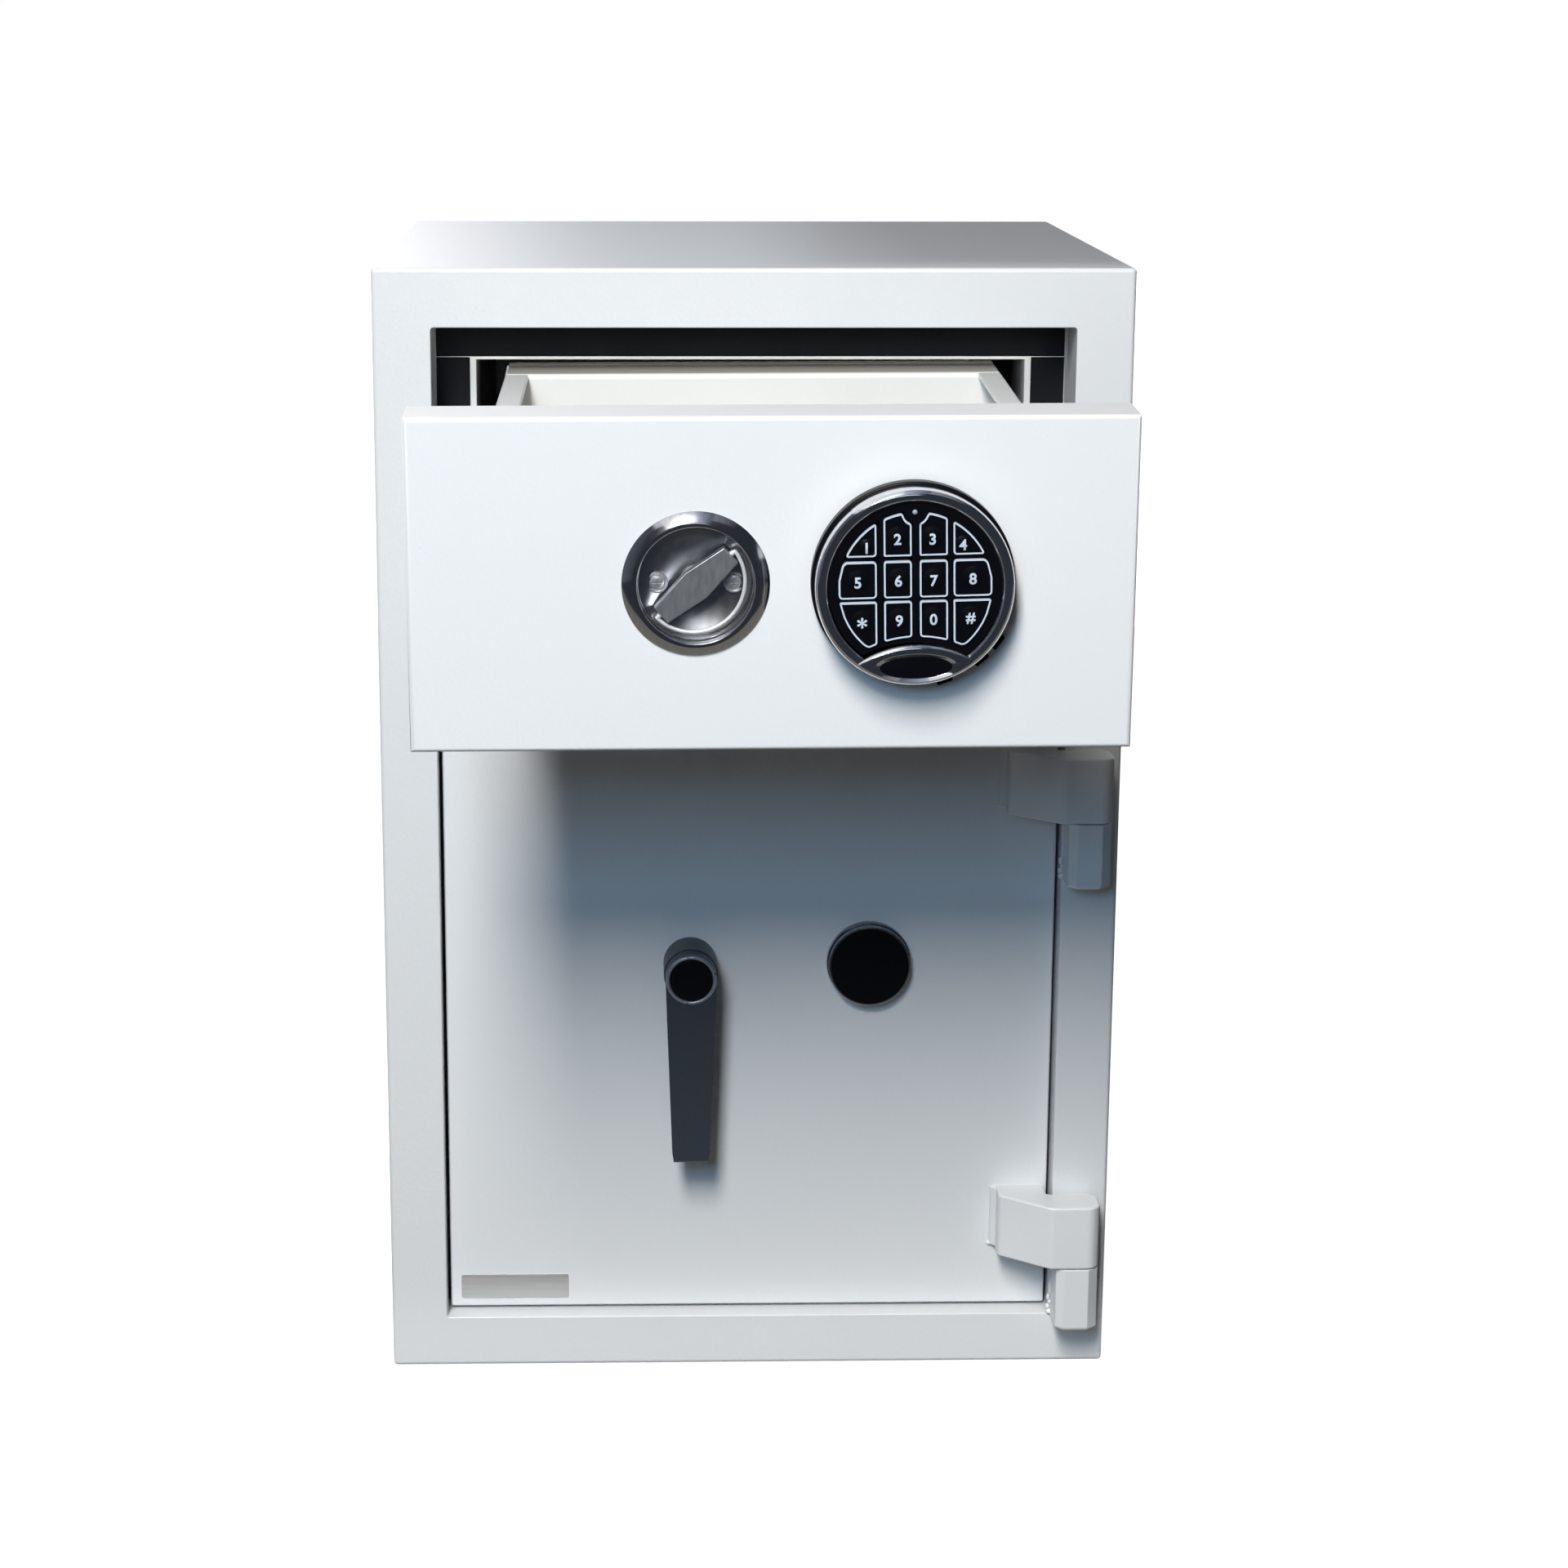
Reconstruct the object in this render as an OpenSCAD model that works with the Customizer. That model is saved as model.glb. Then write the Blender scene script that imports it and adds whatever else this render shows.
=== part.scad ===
// Drop safe with a deposit drawer over a hinged vault door.
// Front looks along -Y, +X is right, +Z is up. The origin is the centre of the base on the floor.
// Most places are worked out as a distance back from the front face, then moved by from_front().

/* [Body] */
// Width over the outer skin
body_w = 490; // [440:1:620]
// Depth over the outer skin
body_d = 452; // [446:1:600]
// Height over the outer skin
body_h = 750; // [700:1:900]
// Thickness of the outer skin
skin_t = 4; // [2:0.5:6]
// Thickness of the inner liner
liner_t = 3; // [2:0.5:4]
// Thickness of the barrier fill between skin and liner at the sides
fill_t = 30.5; // [24:0.5:40]
// Thickness of the barrier fill at the back
fill_rear_t = 34; // [24:0.5:40]
// Radius on the outer edges
edge_r = 3; // [1:0.5:6]

/* [Front frame] */
// Depth of the frame bars behind the front face
frame_t = 30; // [26:1:31]
// Height of the bar over the drawer opening
head_h = 38; // [34:1:50]
// Height of the bar under the door opening
sill_h = 37; // [34:1:50]
// Height of the bar between drawer and door
crossbar_h = 31.5; // [24:0.5:40]
// Height of the drawer opening
drawer_open_h = 196.5; // [190:0.5:240]
// Radius on the edges of the two openings
lip_r = 2.5; // [1:0.5:3]
// Distance of the closed door and drawer behind the front face
recess = 14.5; // [8:0.5:16]
// Radius of each floor anchor hole
anchor_r = 7; // [5:0.5:10]
// Distance between anchor holes across the base
anchor_x = 340; // [240:5:360]
// Distance between anchor holes along the base
anchor_y = 300; // [200:5:320]

/* [Drawer compartment] */
// Distance of the set-back flange behind the front face
seal_depth = 57; // [52:0.5:60]
// Thickness of the flange and compartment walls
sleeve_t = 3; // [2:0.5:4]
// Width of the flange on each side of the compartment
flange_w = 26.5; // [20:0.5:34]
// Height of the flange under the frame head
sleeve_drop = 26; // [20:1:30]
// Distance from the flange to the compartment ceiling, free for the bolts
bolt_slot = 20; // [18:1:30]
// Width of flange left bare beside each seal strip
strip_bare = 4; // [1:0.5:8]
// Thickness of each seal strip
strip_t = 1.2; // [0.6:0.1:1.4]
// Length of the closed deck in front of the drop opening, from the front face
deck_front = 185; // [120:1:186]
// Length of the drop opening
drop_len = 145; // [135:1:160]
// Thickness of the deck
deck_t = 3; // [2:0.5:5]

/* [Drawer] */
// Distance the drawer comes out
travel = 315; // [120:1:330]
// Angle that the drawer tips on its rollers when it is fully out
sag = 2.6; // [0:0.1:2.8]
// Thickness of the drawer front
front_t = 41; // [34:0.5:41]
// Gap over the drawer front and at its two sides
drawer_gap = 2.8; // [2:0.1:3]
// Gap under the drawer front
drawer_under = 3.8; // [3.5:0.1:6]
// Radius on the edges of the drawer front
front_r = 4; // [2:0.5:8]
// Room for a slide on each side of the tray
slide_room = 21; // [20.5:0.5:24]
// Length of the tray behind the drawer front
tray_l = 317; // [300:1:318]
// Thickness of the tray sheet
sheet_t = 1.5; // [1:0.1:2]
// Width of the folded side rims
rim_w = 15.3; // [8:0.1:20]
// Length of the rear cover of the tray
cover_l = 49; // [44:1:60]
// Distance of the rims under the top of the drawer front
rim_drop = 25; // [25:0.5:40]
// Clearance of the tray over the deck
tray_lift = 6.5; // [6:0.5:12]
// Height of the tray floor over the lower edge of the tray sides
floor_lift = 4; // [3.5:0.5:8]
// Length of the trap in the tray floor
trap_l = 116; // [60:1:117]
// Length of fixed floor behind the trap
trap_shelf = 16.5; // [8:0.5:24]
// Thickness of the trap
trap_t = 2; // [1.5:0.5:3]
// Radius of the trap's hinge rod
trap_rod_r = 2.4; // [2:0.1:3]

/* [Drawer slides] */
// Height of the slide axis over the foot of the drawer opening
slide_rise = 84.5; // [70:0.5:110]
// Distance of the rear rollers in front of the tray's end
roller_back = 12.5; // [10:0.5:16]
// Height of the outer slide member
outer_h = 45; // [44:1:60]
// Width of the outer slide member
outer_w = 11.5; // [9:0.5:13]
// Gap between the webs of the outer and the middle member
web_gap = 1; // [0.5:0.5:2]
// Overlap of the middle member over the inner rail
rail_lap = 2.5; // [1:0.5:4]
// Sheet thickness of the outer member
outer_t = 2.5; // [2:0.5:3]
// Sheet thickness of the middle member
middle_t = 2; // [1.5:0.5:3]
// Height of the inner rail
inner_h = 20; // [12:1:20]
// Thickness of the inner rail
inner_t = 6; // [3:0.5:6]
// Width of each roller
roller_w = 7; // [4:0.5:8]
// Radius of each roller's axle
axle_r = 4; // [3:0.5:5]
// Running gap between slide members
slide_gap = 0.4; // [0.3:0.05:0.5]

/* [Flush pull] */
// Distance of the pull to the left of the middle
rose_left = 44.4; // [43:0.1:80]
// Height of the pull over the middle of the drawer front
rose_rise = 1.4; // [-10:0.1:10]
// Radius of the rose
rose_r = 41.75; // [38:0.25:46]
// Height of the rose over the drawer front
rose_t = 4; // [2:0.5:6]
// Radius of the cup's mouth
cup_r = 33; // [31.5:0.5:35]
// Depth of the cup behind the face of the drawer front
cup_depth = 11; // [8:0.5:14]
// Length of the turn bar
bar_l = 52; // [40:1:53]
// Width of the turn bar at its middle
bar_w = 18.6; // [12:0.2:22]
// Width of the turn bar at its ends
bar_end_w = 11.6; // [8:0.2:14]
// Thickness of the turn bar
bar_t = 6.5; // [4:0.5:8]
// Angle of the turn bar at rest
bar_angle = 41; // [30:1:60]
// Radius of the D ring's wire
wire_r = 1.1; // [0.8:0.1:1.2]
// Radius of the D ring's curve
ring_r = 29.4; // [29:0.1:29.8]
// Radius of the spindle
spindle_r = 5; // [4:0.5:6]
// Radius of each lifting bolt
lift_bolt_r = 7; // [5:0.5:8]
// Distance of each lifting bolt inside the side of the tray
lift_bolt_in = 27; // [26:1:40]
// Depth of the drawer's inner cover
drawer_cover_d = 31; // [28:1:40]
// Distance of the inner cover inside the side of the tray
drawer_cover_in = 18; // [16:1:19]
// Distance of the inner cover over the foot of the drawer front
cover_foot = 38; // [30:1:44]
// Distance of the inner cover under the top of the drawer front
cover_head = 35; // [27:1:40]
// Height of the bar that joins the lifting bolts
lift_bar_h = 14; // [10:1:16]

/* [Keypad] */
// Distance of the keypad to the right of the middle
keypad_right = 77.1; // [70:0.1:90]
// Height of the keypad over the middle of the drawer front
keypad_rise = 2.7; // [-10:0.1:10]
// Radius of the black base
base_r = 57.3; // [56:0.1:62]
// Height of the base over the drawer front
base_t = 8; // [6:0.5:10]
// Width of the tab at the lower right of the base
tab_w = 18; // [10:1:24]
// How far the tab stands out of the base
tab_out = 4.3; // [2:0.1:5]
// Angle of the tab below the level line
tab_angle = 52; // [30:1:70]
// Outer radius of the bezel
bezel_r = 55.75; // [53:0.25:56]
// Radius of the face
face_r = 48.3; // [47:0.1:50]
// Height of the bezel over the drawer front
bezel_t = 25; // [20:0.5:32]
// Distance of the face behind the bezel's crest
face_sink = 4; // [3:0.5:6]
// Thickness of the face
face_t = 5; // [4.5:0.5:6]
// Thickness of a key
key_t = 2.6; // [2:0.1:2.8]
// Height of a key over the face
key_proud = 0.9; // [0.85:0.05:1.4]
// Travel of a key
key_travel = 0.8; // [0.4:0.1:0.8]
// Gap round each key
key_gap = 0.2; // [0.15:0.05:0.3]
// Radius round the keys at the bezel side
keys_r = 43; // [42:0.5:44]
// Radius of the raised dome on a key
dome_r = 6.2; // [4:0.2:6.4]

/* [Door] */
// Thickness of the door panel
door_t = 8; // [6:0.5:10]
// Gap round the door
door_gap = 2.2; // [2:0.1:3]
// Radius on the panel's corners
door_r = 2; // [1:0.5:4]
// Depth of the inner cover behind the panel
cover_d = 31; // [28:0.5:32]
// Distance of the inner cover inside the panel's edges
cover_in = 17; // [16:0.5:24]
// Distance of the lever to the left of the middle
lever_left = 40.5; // [30:0.5:60]
// Distance of the key cover to the right of the middle
key_right = 80.3; // [60:0.1:100]
// Height of lever and key over the middle of the door
lever_rise = 24; // [-20:0.5:40]
// Width of both lock cases
lock_w = 48; // [40:1:50]
// Depth of both lock cases
lock_d = 24; // [18:1:26]
// Distance of the drawer lock's foot below the keypad's middle
drawer_lock_drop = 18; // [12:1:30]
// Distance of the drawer lock's head over the keypad's middle
drawer_lock_rise = 40; // [30:1:60]
// Height of the door's lock case
door_lock_h = 80; // [60:1:100]
// Distance of the outer bolts from the door's ends
bolt_end = 80; // [50:1:120]
// Width of the upright bar that joins the bolts
bolt_bar_w = 20; // [14:1:24]
// Distance of that bar inside the door's edge
bolt_bar_in = 55; // [50:1:70]
// Distance of the dead bar from the door's ends
dead_end = 40; // [20:1:80]
// How far the dead bar reaches past the edge of the opening
dead_reach = 3.5; // [1:0.5:5]
// Radius of the throwing bolts
bolt_r = 10; // [7:0.5:10]
// Distance from the door plate's back to the axis of the bolts
bolt_in = 19.5; // [18:0.5:22]
// Length of the lever from its pivot to its tip
lever_l = 125; // [90:1:140]
// Width of the lever at its pivot
lever_w = 34.4; // [28:0.2:36]
// Width of the lever at its tip
lever_tip_w = 24.8; // [18:0.2:30]
// Thickness of the lever
lever_t = 12; // [8:0.5:14]
// Radius of the lever's hub
hub_r = 18; // [15:0.5:20]
// Distance from the door's face to the lever's back
hub_l = 29.5; // [20:0.5:40]
// Radius of the cap on the lever
cap_r = 14.2; // [10:0.2:16]
// Radius of the key cover
key_cover_r = 27.6; // [24:0.2:32]
// Radius of the key cover's base
key_base_r = 28.6; // [28:0.2:34]
// Thickness of the key cover
key_cover_t = 7.2; // [5:0.2:9]
// Thickness of the key cover's base
key_base_t = 4.5; // [3:0.5:6]
// Radius of the key plug
plug_r = 10; // [8:0.5:12]

/* [Hinges] */
// Radius of the hinge barrel
barrel_r = 15.5; // [13:0.5:16]
// Distance of the hinge axis in from the side of the body
hinge_in = 21; // [19:0.5:22]
// Height of a leaf
leaf_h = 44; // [36:1:50]
// Height of a knuckle
knuckle_h = 44.5; // [36:0.5:50]
// Gap between leaf and knuckle
leaf_gap = 0.4; // [0.3:0.1:1]
// Distance of the lower leaf over the foot of the door opening
lower_leaf_up = 43.5; // [43:0.5:80]
// Distance of the upper leaf under the head of the door opening
upper_leaf_down = 47; // [44:0.5:80]
// Distance of a leaf's left end from the hinge axis
leaf_reach = 54; // [44:1:60]
// Thickness of a leaf at its left end
leaf_end_t = 20.1; // [14:0.1:24]
// Radius of the hinge pins
pin_r = 5; // [4:0.5:6]

/* [Hidden] */
KEY_NAMES = ["key_1", "key_2", "key_3", "key_4", "key_5", "key_6", "key_7", "key_8",
    "key_star", "key_9", "key_0", "key_hash"];
$fn = 96;

// Running clearance of a round shaft in its bore
run_gap = 0.05;
// Small gap between faces that slide
face_gap = 0.3;
// Overshoot of a cut past the solid it cuts
cut = 1;

coat = [0.87, 0.88, 0.90];
steel = [0.62, 0.62, 0.64];
chrome = [0.80, 0.80, 0.82];
black = [0.05, 0.05, 0.06];
grey = [0.36, 0.37, 0.39];
zinc = [0.72, 0.72, 0.70];
concrete = [0.55, 0.54, 0.51];

wall_t = skin_t + fill_t + liner_t;
open_w = body_w - 2 * wall_t;
open_x = open_w / 2;
open_z = sill_h;
drawer_top = body_h - head_h;
drawer_bot = drawer_top - drawer_open_h;
door_top = drawer_bot - crossbar_h;
bolt_pocket = frame_t * 2;
inner_back = body_d - skin_t - fill_rear_t - liner_t;
fill_back = inner_back + liner_t;

sleeve_x = open_x - flange_w;
sleeve_z = drawer_top - sleeve_drop;
slide_end = inner_back - 6;
deck_rear = deck_front + drop_len;

front_top = drawer_top - drawer_gap;
front_bot = drawer_bot + drawer_under;
front_x = open_x - drawer_gap;
front_back = recess + front_t;
tray_x = sleeve_x - slide_room;
tray_top = front_top - rim_drop;
tray_bot = drawer_bot + tray_lift;
tray_end = front_back + tray_l;
back_wall = tray_end - cover_l;
floor_z = tray_bot + floor_lift;
floor_gap = 1;
trap_y = back_wall - floor_gap - trap_shelf - trap_l;
slide_z = drawer_bot + slide_rise;
trap_z = floor_z + trap_t / 2;
pivot = [0, tray_end - roller_back, slide_z];

middle_h = outer_h - 2 * (outer_t + slide_gap);
outer_x = sleeve_x - outer_w;
middle_web = sleeve_x - outer_t - web_gap;
inner_x = tray_x + inner_t;
middle_x = inner_x - rail_lap;
roller_r = middle_h / 2 - middle_t - face_gap;
roller_x = inner_x + 1;
slide_front = seal_depth + sleeve_t + 2;
middle_l = slide_end - slide_front - 12;

front_mid = (front_top + front_bot) / 2;
rose_x = -rose_left;
rose_z = front_mid + rose_rise;
keypad_x = keypad_right;
keypad_z = front_mid + keypad_rise;
screw_x = 21.6;
screw_r = 5.6;
cover_z = [front_bot + cover_foot, front_top - cover_head];
cover_x = tray_x - drawer_cover_in;
cover_back = front_back + drawer_cover_d;
lift_bolt_x = tray_x - lift_bolt_in;
lift_bar_z = cover_z[0] + 8;
lift_y = front_back + 15;
lift_tip = sleeve_z - 4;
face_y = recess - bezel_t + face_sink;

key_column = [[-48, -21], [-17.9, -2.2], [2.2, 17.9], [21, 48]];
key_row = [[18.6, 48], [-4.6, 16.8], [-48, -6.2]];
dome_at = [[-27.5, 24.5], [-9.5, 27], [10, 27], [26.5, 25], [-31, 6], [-9.9, 5.5], [10, 6],
    [31.5, 7], [-28.5, -16.5], [-9.3, -17.5], [9.8, -17], [28.5, -15.5]];
arch_z = -91.7;
arch_r = 60;
key_arch_r = 64;
lamp_z = 42.8;
lamp_notch = 7;

door_x = open_x - door_gap;
door_bot = open_z + door_gap;
door_head = door_top - door_gap;
door_back = recess + door_t;
cover_end = door_back + cover_d;
bolt_y = door_back + bolt_in;
door_mid = (door_bot + door_head) / 2;
bolt_zs = [door_bot + bolt_end, door_mid, door_head - bolt_end];
bolt_tip = door_x - 5;
bolt_bar_x = door_x - bolt_bar_in;
cam_back = door_back + 16;
lever_x = -lever_left;
lever_z = door_mid + lever_rise;
key_x = key_right;
lever_back = recess - hub_l;
plug_front = recess - key_base_t + face_gap;
plug_back = door_back + 14;
cover_pin_z = key_cover_r - 6.6;
cam_r = 24;
cam_t = 6;
pull_cam_r = 18;
hub_spindle_r = 8;

hinge_x = body_w / 2 - hinge_in;
hinge_y = -1.5 - barrel_r;
leaf_zs = [open_z + lower_leaf_up, door_top - upper_leaf_down - leaf_h];
barrel_corner = 17;

// Moves a piece from front-face coordinates to the part's own origin
module from_front() {
    translate([0, -body_d / 2, 0]) children();
}

// Moves a drawer piece from its closed, level place to where it hangs when fully out
module drawer_out() {
    from_front() translate([0, -travel, 0]) translate(pivot) rotate([sag, 0, 0])
        translate(-pivot) children();
}

// Block from one corner to the opposite one
module block(low, high) {
    translate(low) cube(high - low);
}

// The same child at the left and the right
module both_sides() {
    children();
    mirror([1, 0, 0]) children();
}

// Rod along Y from y0 to y1
module rod_y(x, y0, y1, z, r) {
    translate([x, y0, z]) rotate([-90, 0, 0]) cylinder(h = y1 - y0, r = r);
}

// Rod along X from x0 to x1
module rod_x(x0, x1, y, z, r) {
    translate([x0, y, z]) rotate([0, 90, 0]) cylinder(h = x1 - x0, r = r);
}

// Rectangle with round corners, from its corner at the origin
module soft_rect(w, h, r) {
    translate([r, 0]) square([w - 2 * r, h]);
    translate([0, r]) square([w, h - 2 * r]);
    for (x = [r, w - r], y = [r, h - r]) translate([x, y]) circle(r = r);
}

// Block with all its edges rounded, as three crossed prisms
module soft_block(low, high, r) {
    s = high - low;
    translate(low) intersection() {
        linear_extrude(s[2]) soft_rect(s[0], s[1], r);
        translate([0, s[1], 0]) rotate([90, 0, 0]) linear_extrude(s[1]) soft_rect(s[0], s[2], r);
        rotate([90, 0, 90]) linear_extrude(s[0]) soft_rect(s[1], s[2], r);
    }
}

// The whole body as one rounded block, which trims the skin and the frame
module body_blank() {
    soft_block([-body_w / 2, 0, 0], [body_w / 2, body_d, body_h], edge_r);
}

module outer_sides() {
    color(coat) from_front() intersection() {
        body_blank();
        both_sides() block([open_x + liner_t + fill_t, frame_t, skin_t],
            [body_w / 2, body_d - skin_t, body_h - skin_t]);
    }
}

module anchor_holes(z0, z1) {
    for (x = [-anchor_x / 2, anchor_x / 2], y = [-anchor_y / 2, anchor_y / 2])
        translate([x, body_d / 2 + y, z0 - cut]) cylinder(h = z1 - z0 + 2 * cut, r = anchor_r);
}

module outer_top_and_base() {
    color(coat) from_front() difference() {
        intersection() {
            body_blank();
            union() for (z = [0, body_h - skin_t])
                block([-body_w / 2, frame_t, z], [body_w / 2, body_d - skin_t, z + skin_t]);
        }
        anchor_holes(0, skin_t);
    }
}

module outer_back() {
    color(coat) from_front() intersection() {
        body_blank();
        block([-body_w / 2, body_d - skin_t, 0], [body_w / 2, body_d, body_h]);
    }
}

// Opening through the frame whose front edge is rounded over by a quarter round
module frame_opening(z0, z1) {
    block([-open_x, -cut, z0], [open_x, frame_t + cut, z1]);
    lip_cut(open_w, z0, z1);
}

// What a quarter-round lip takes off the frame's face round an opening
module lip_cut(w, z0, z1) {
    difference() {
        block([-w / 2 - lip_r, -cut, z0 - lip_r], [w / 2 + lip_r, lip_r, z1 + lip_r]);
        for (s = [-1, 1]) translate([s * (w / 2 + lip_r), lip_r, z0 - lip_r - cut])
            cylinder(h = z1 - z0 + 2 * lip_r + 2 * cut, r = lip_r);
        for (z = [z0 - lip_r, z1 + lip_r])
            rod_x(-w / 2 - lip_r - cut, w / 2 + lip_r + cut, lip_r, z, lip_r);
    }
}

module frame_blank() {
    difference() {
        body_blank();
        block([-body_w, frame_t, -cut], [body_w, body_d + cut, body_h + cut]);
        frame_opening(open_z, door_top);
        frame_opening(drawer_bot, drawer_top);
    }
}

module frame_jambs() {
    color(coat) from_front() intersection() {
        frame_blank();
        both_sides() block([open_x, -cut, -cut], [body_w / 2 + cut, frame_t, body_h + cut]);
    }
}

module frame_rails() {
    color(coat) from_front() intersection() {
        frame_blank();
        block([-open_x, -cut, -cut], [open_x, frame_t, body_h + cut]);
    }
}

module liner_sides() {
    color(coat) from_front() both_sides()
        block([open_x, bolt_pocket, open_z - liner_t],
            [open_x + liner_t, inner_back, drawer_top + liner_t]);
}

module liner_floor_and_ceiling() {
    color(coat) from_front() difference() {
        for (z = [open_z - liner_t, drawer_top])
            block([-open_x, frame_t, z], [open_x, inner_back, z + liner_t]);
        anchor_holes(open_z - liner_t, open_z);
    }
}

module liner_back() {
    color(coat) from_front() block([-open_x - liner_t, inner_back, open_z - liner_t],
        [open_x + liner_t, fill_back, drawer_top + liner_t]);
}

// Barrier fill between the two skins, left open beside the front for the bolts
module wall_fill() {
    fx = open_x + liner_t + fill_t;
    color(concrete) from_front() difference() {
        block([-fx, frame_t, skin_t], [fx, body_d - skin_t, body_h - skin_t]);
        block([-open_x - liner_t, frame_t - cut, open_z - liner_t],
            [open_x + liner_t, fill_back, drawer_top + liner_t]);
        block([-fx - cut, frame_t - cut, open_z - liner_t],
            [fx + cut, bolt_pocket, drawer_top + liner_t]);
        anchor_holes(skin_t, open_z);
    }
}

module drop_deck() {
    color(coat) from_front() {
        block([-open_x, frame_t, drawer_bot - deck_t], [open_x, deck_front, drawer_bot]);
        block([-open_x, deck_rear, drawer_bot - deck_t], [open_x, inner_back, drawer_bot]);
    }
}

module drawer_reveals() {
    color(coat) from_front() both_sides()
        block([open_x, frame_t, drawer_bot], [open_x + skin_t, seal_depth, drawer_top]);
}

// Each side: the set-back flange and the wall that carries a slide
module sleeve_sides() {
    color(coat) from_front() both_sides() {
        block([sleeve_x, seal_depth, drawer_bot],
            [open_x + skin_t, seal_depth + sleeve_t, drawer_top]);
        block([sleeve_x, seal_depth, drawer_bot],
            [sleeve_x + sleeve_t, inner_back, sleeve_z + sleeve_t]);
    }
}

// Flange over the opening, then the ceiling behind the slot that the bolts rise through
module sleeve_top() {
    color(coat) from_front() {
        block([-sleeve_x, seal_depth, sleeve_z], [sleeve_x, seal_depth + sleeve_t, drawer_top]);
        block([-sleeve_x, seal_depth + sleeve_t + bolt_slot, sleeve_z],
            [sleeve_x, inner_back, sleeve_z + sleeve_t]);
    }
}

module seal_strips() {
    y = seal_depth - strip_t;
    top_z = sleeve_z + 2.3;
    in = 0.5;
    color(black) from_front() {
        block([-open_x + in, y, top_z], [open_x - in, seal_depth, drawer_top - in]);
        both_sides() block([sleeve_x + strip_bare, y, drawer_bot + in],
            [open_x - in, seal_depth, top_z - in]);
    }
}

// Channel open towards the tray, with its web at the outside
module channel(x0, x1, y0, y1, h, t) {
    difference() {
        block([x0, y0, slide_z - h / 2], [x1, y1, slide_z + h / 2]);
        block([x0 - cut, y0 - cut, slide_z - h / 2 + t], [x1 - t, y1 + cut, slide_z + h / 2 - t]);
    }
}

module slide_outers() {
    color(zinc) from_front() both_sides()
        channel(outer_x, sleeve_x, slide_front, slide_end, outer_h, outer_t);
}

module slide_middles() {
    y0 = slide_front + 2 - travel / 2;
    color(zinc) from_front() both_sides()
        channel(middle_x, middle_web, y0, y0 + middle_l, middle_h, middle_t);
}

module slide_rollers() {
    y = pivot[1] - travel;
    color(grey) from_front() both_sides() {
        rod_x(roller_x, roller_x + roller_w, y, slide_z, roller_r);
        rod_x(tray_x - sheet_t - 2, roller_x + cut, y, slide_z, axle_r);
    }
}

// Square block with its corners cut by a circle, round the hinge axis
module barrel_outline() {
    intersection() {
        translate([-barrel_r, -barrel_r]) square(2 * barrel_r);
        circle(r = barrel_corner);
    }
}

module leaf_outline() {
    left = -leaf_reach;
    step = open_x - 4.5 - hinge_x;
    face = recess - hinge_y;
    barrel_outline();
    polygon([[left, face], [left, face - leaf_end_t], [step, -barrel_r], [0, -barrel_r],
        [0, 0], [-barrel_r, barrel_r - 4], [step, barrel_r - 1.5], [step, face]]);
}

module hinge_leaves() {
    color(coat) from_front() difference() {
        for (z = leaf_zs) translate([hinge_x, hinge_y, z]) linear_extrude(leaf_h) leaf_outline();
        for (z = leaf_zs) translate([hinge_x, hinge_y, z - cut])
            cylinder(h = leaf_h + 2 * cut, r = pin_r + run_gap);
    }
}

module knuckle_outline() {
    f = -barrel_r;
    polygon([[-barrel_r + 0.5, -hinge_y], [-barrel_r + 0.5, f + 2.5], [-barrel_r + 3, f],
        [barrel_r - 7, f], [barrel_r, f + 7], [barrel_r, -hinge_y]]);
}

module hinge_knuckles() {
    color(coat) from_front() difference() {
        for (z = leaf_zs) translate([hinge_x, hinge_y, z - leaf_gap - knuckle_h])
            linear_extrude(knuckle_h) knuckle_outline();
        for (z = leaf_zs) translate([hinge_x, hinge_y, z - leaf_gap - knuckle_h + 6])
            cylinder(h = knuckle_h, r = pin_r + run_gap);
    }
}

module hinge_pins() {
    color(steel) from_front() for (z = leaf_zs)
        translate([hinge_x, hinge_y, z - leaf_gap - knuckle_h + 6])
            cylinder(h = knuckle_h - 6 + leaf_gap + leaf_h - 2, r = pin_r);
}

module door_panel() {
    color(coat) from_front() difference() {
        intersection() {
            soft_block([-door_x, recess, door_bot], [door_x, recess + 3 * door_t, door_head], door_r);
            block([-door_x, recess, door_bot], [door_x, door_back, door_head]);
        }
        rod_y(lever_x, recess - cut, door_back + cut, lever_z, hub_spindle_r + run_gap);
        rod_y(key_x, recess - cut, door_back + cut, lever_z, plug_r + run_gap);
    }
}

module door_cover() {
    x = door_x - cover_in;
    z0 = door_bot + cover_in;
    z1 = door_head - cover_in;
    color(coat) from_front() difference() {
        block([-x, door_back, z0], [x, cover_end, z1]);
        block([-x + sheet_t, door_back - cut, z0 + sheet_t],
            [x - sheet_t, cover_end - sheet_t, z1 - sheet_t]);
        for (z = bolt_zs) rod_x(-x - cut, -x + sheet_t + cut, bolt_y, z, bolt_r + run_gap);
    }
}

module key_base() {
    color(chrome) from_front() difference() {
        rod_y(key_x, recess - key_base_t, recess, lever_z, key_base_r);
        rod_y(key_x, recess - key_base_t - cut, recess + cut, lever_z, plug_r + run_gap);
        rod_y(key_x, recess - key_base_t - cut, recess + cut, lever_z + cover_pin_z, 2 + run_gap);
    }
}

// Plug with a straight keyway in its front end
module key_plug() {
    color(steel) from_front() difference() {
        rod_y(key_x, plug_front, plug_back, lever_z, plug_r);
        block([key_x - 1.5, plug_front - cut, lever_z - 5], [key_x + 1.5, plug_front + 6, lever_z + 5]);
    }
}

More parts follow.
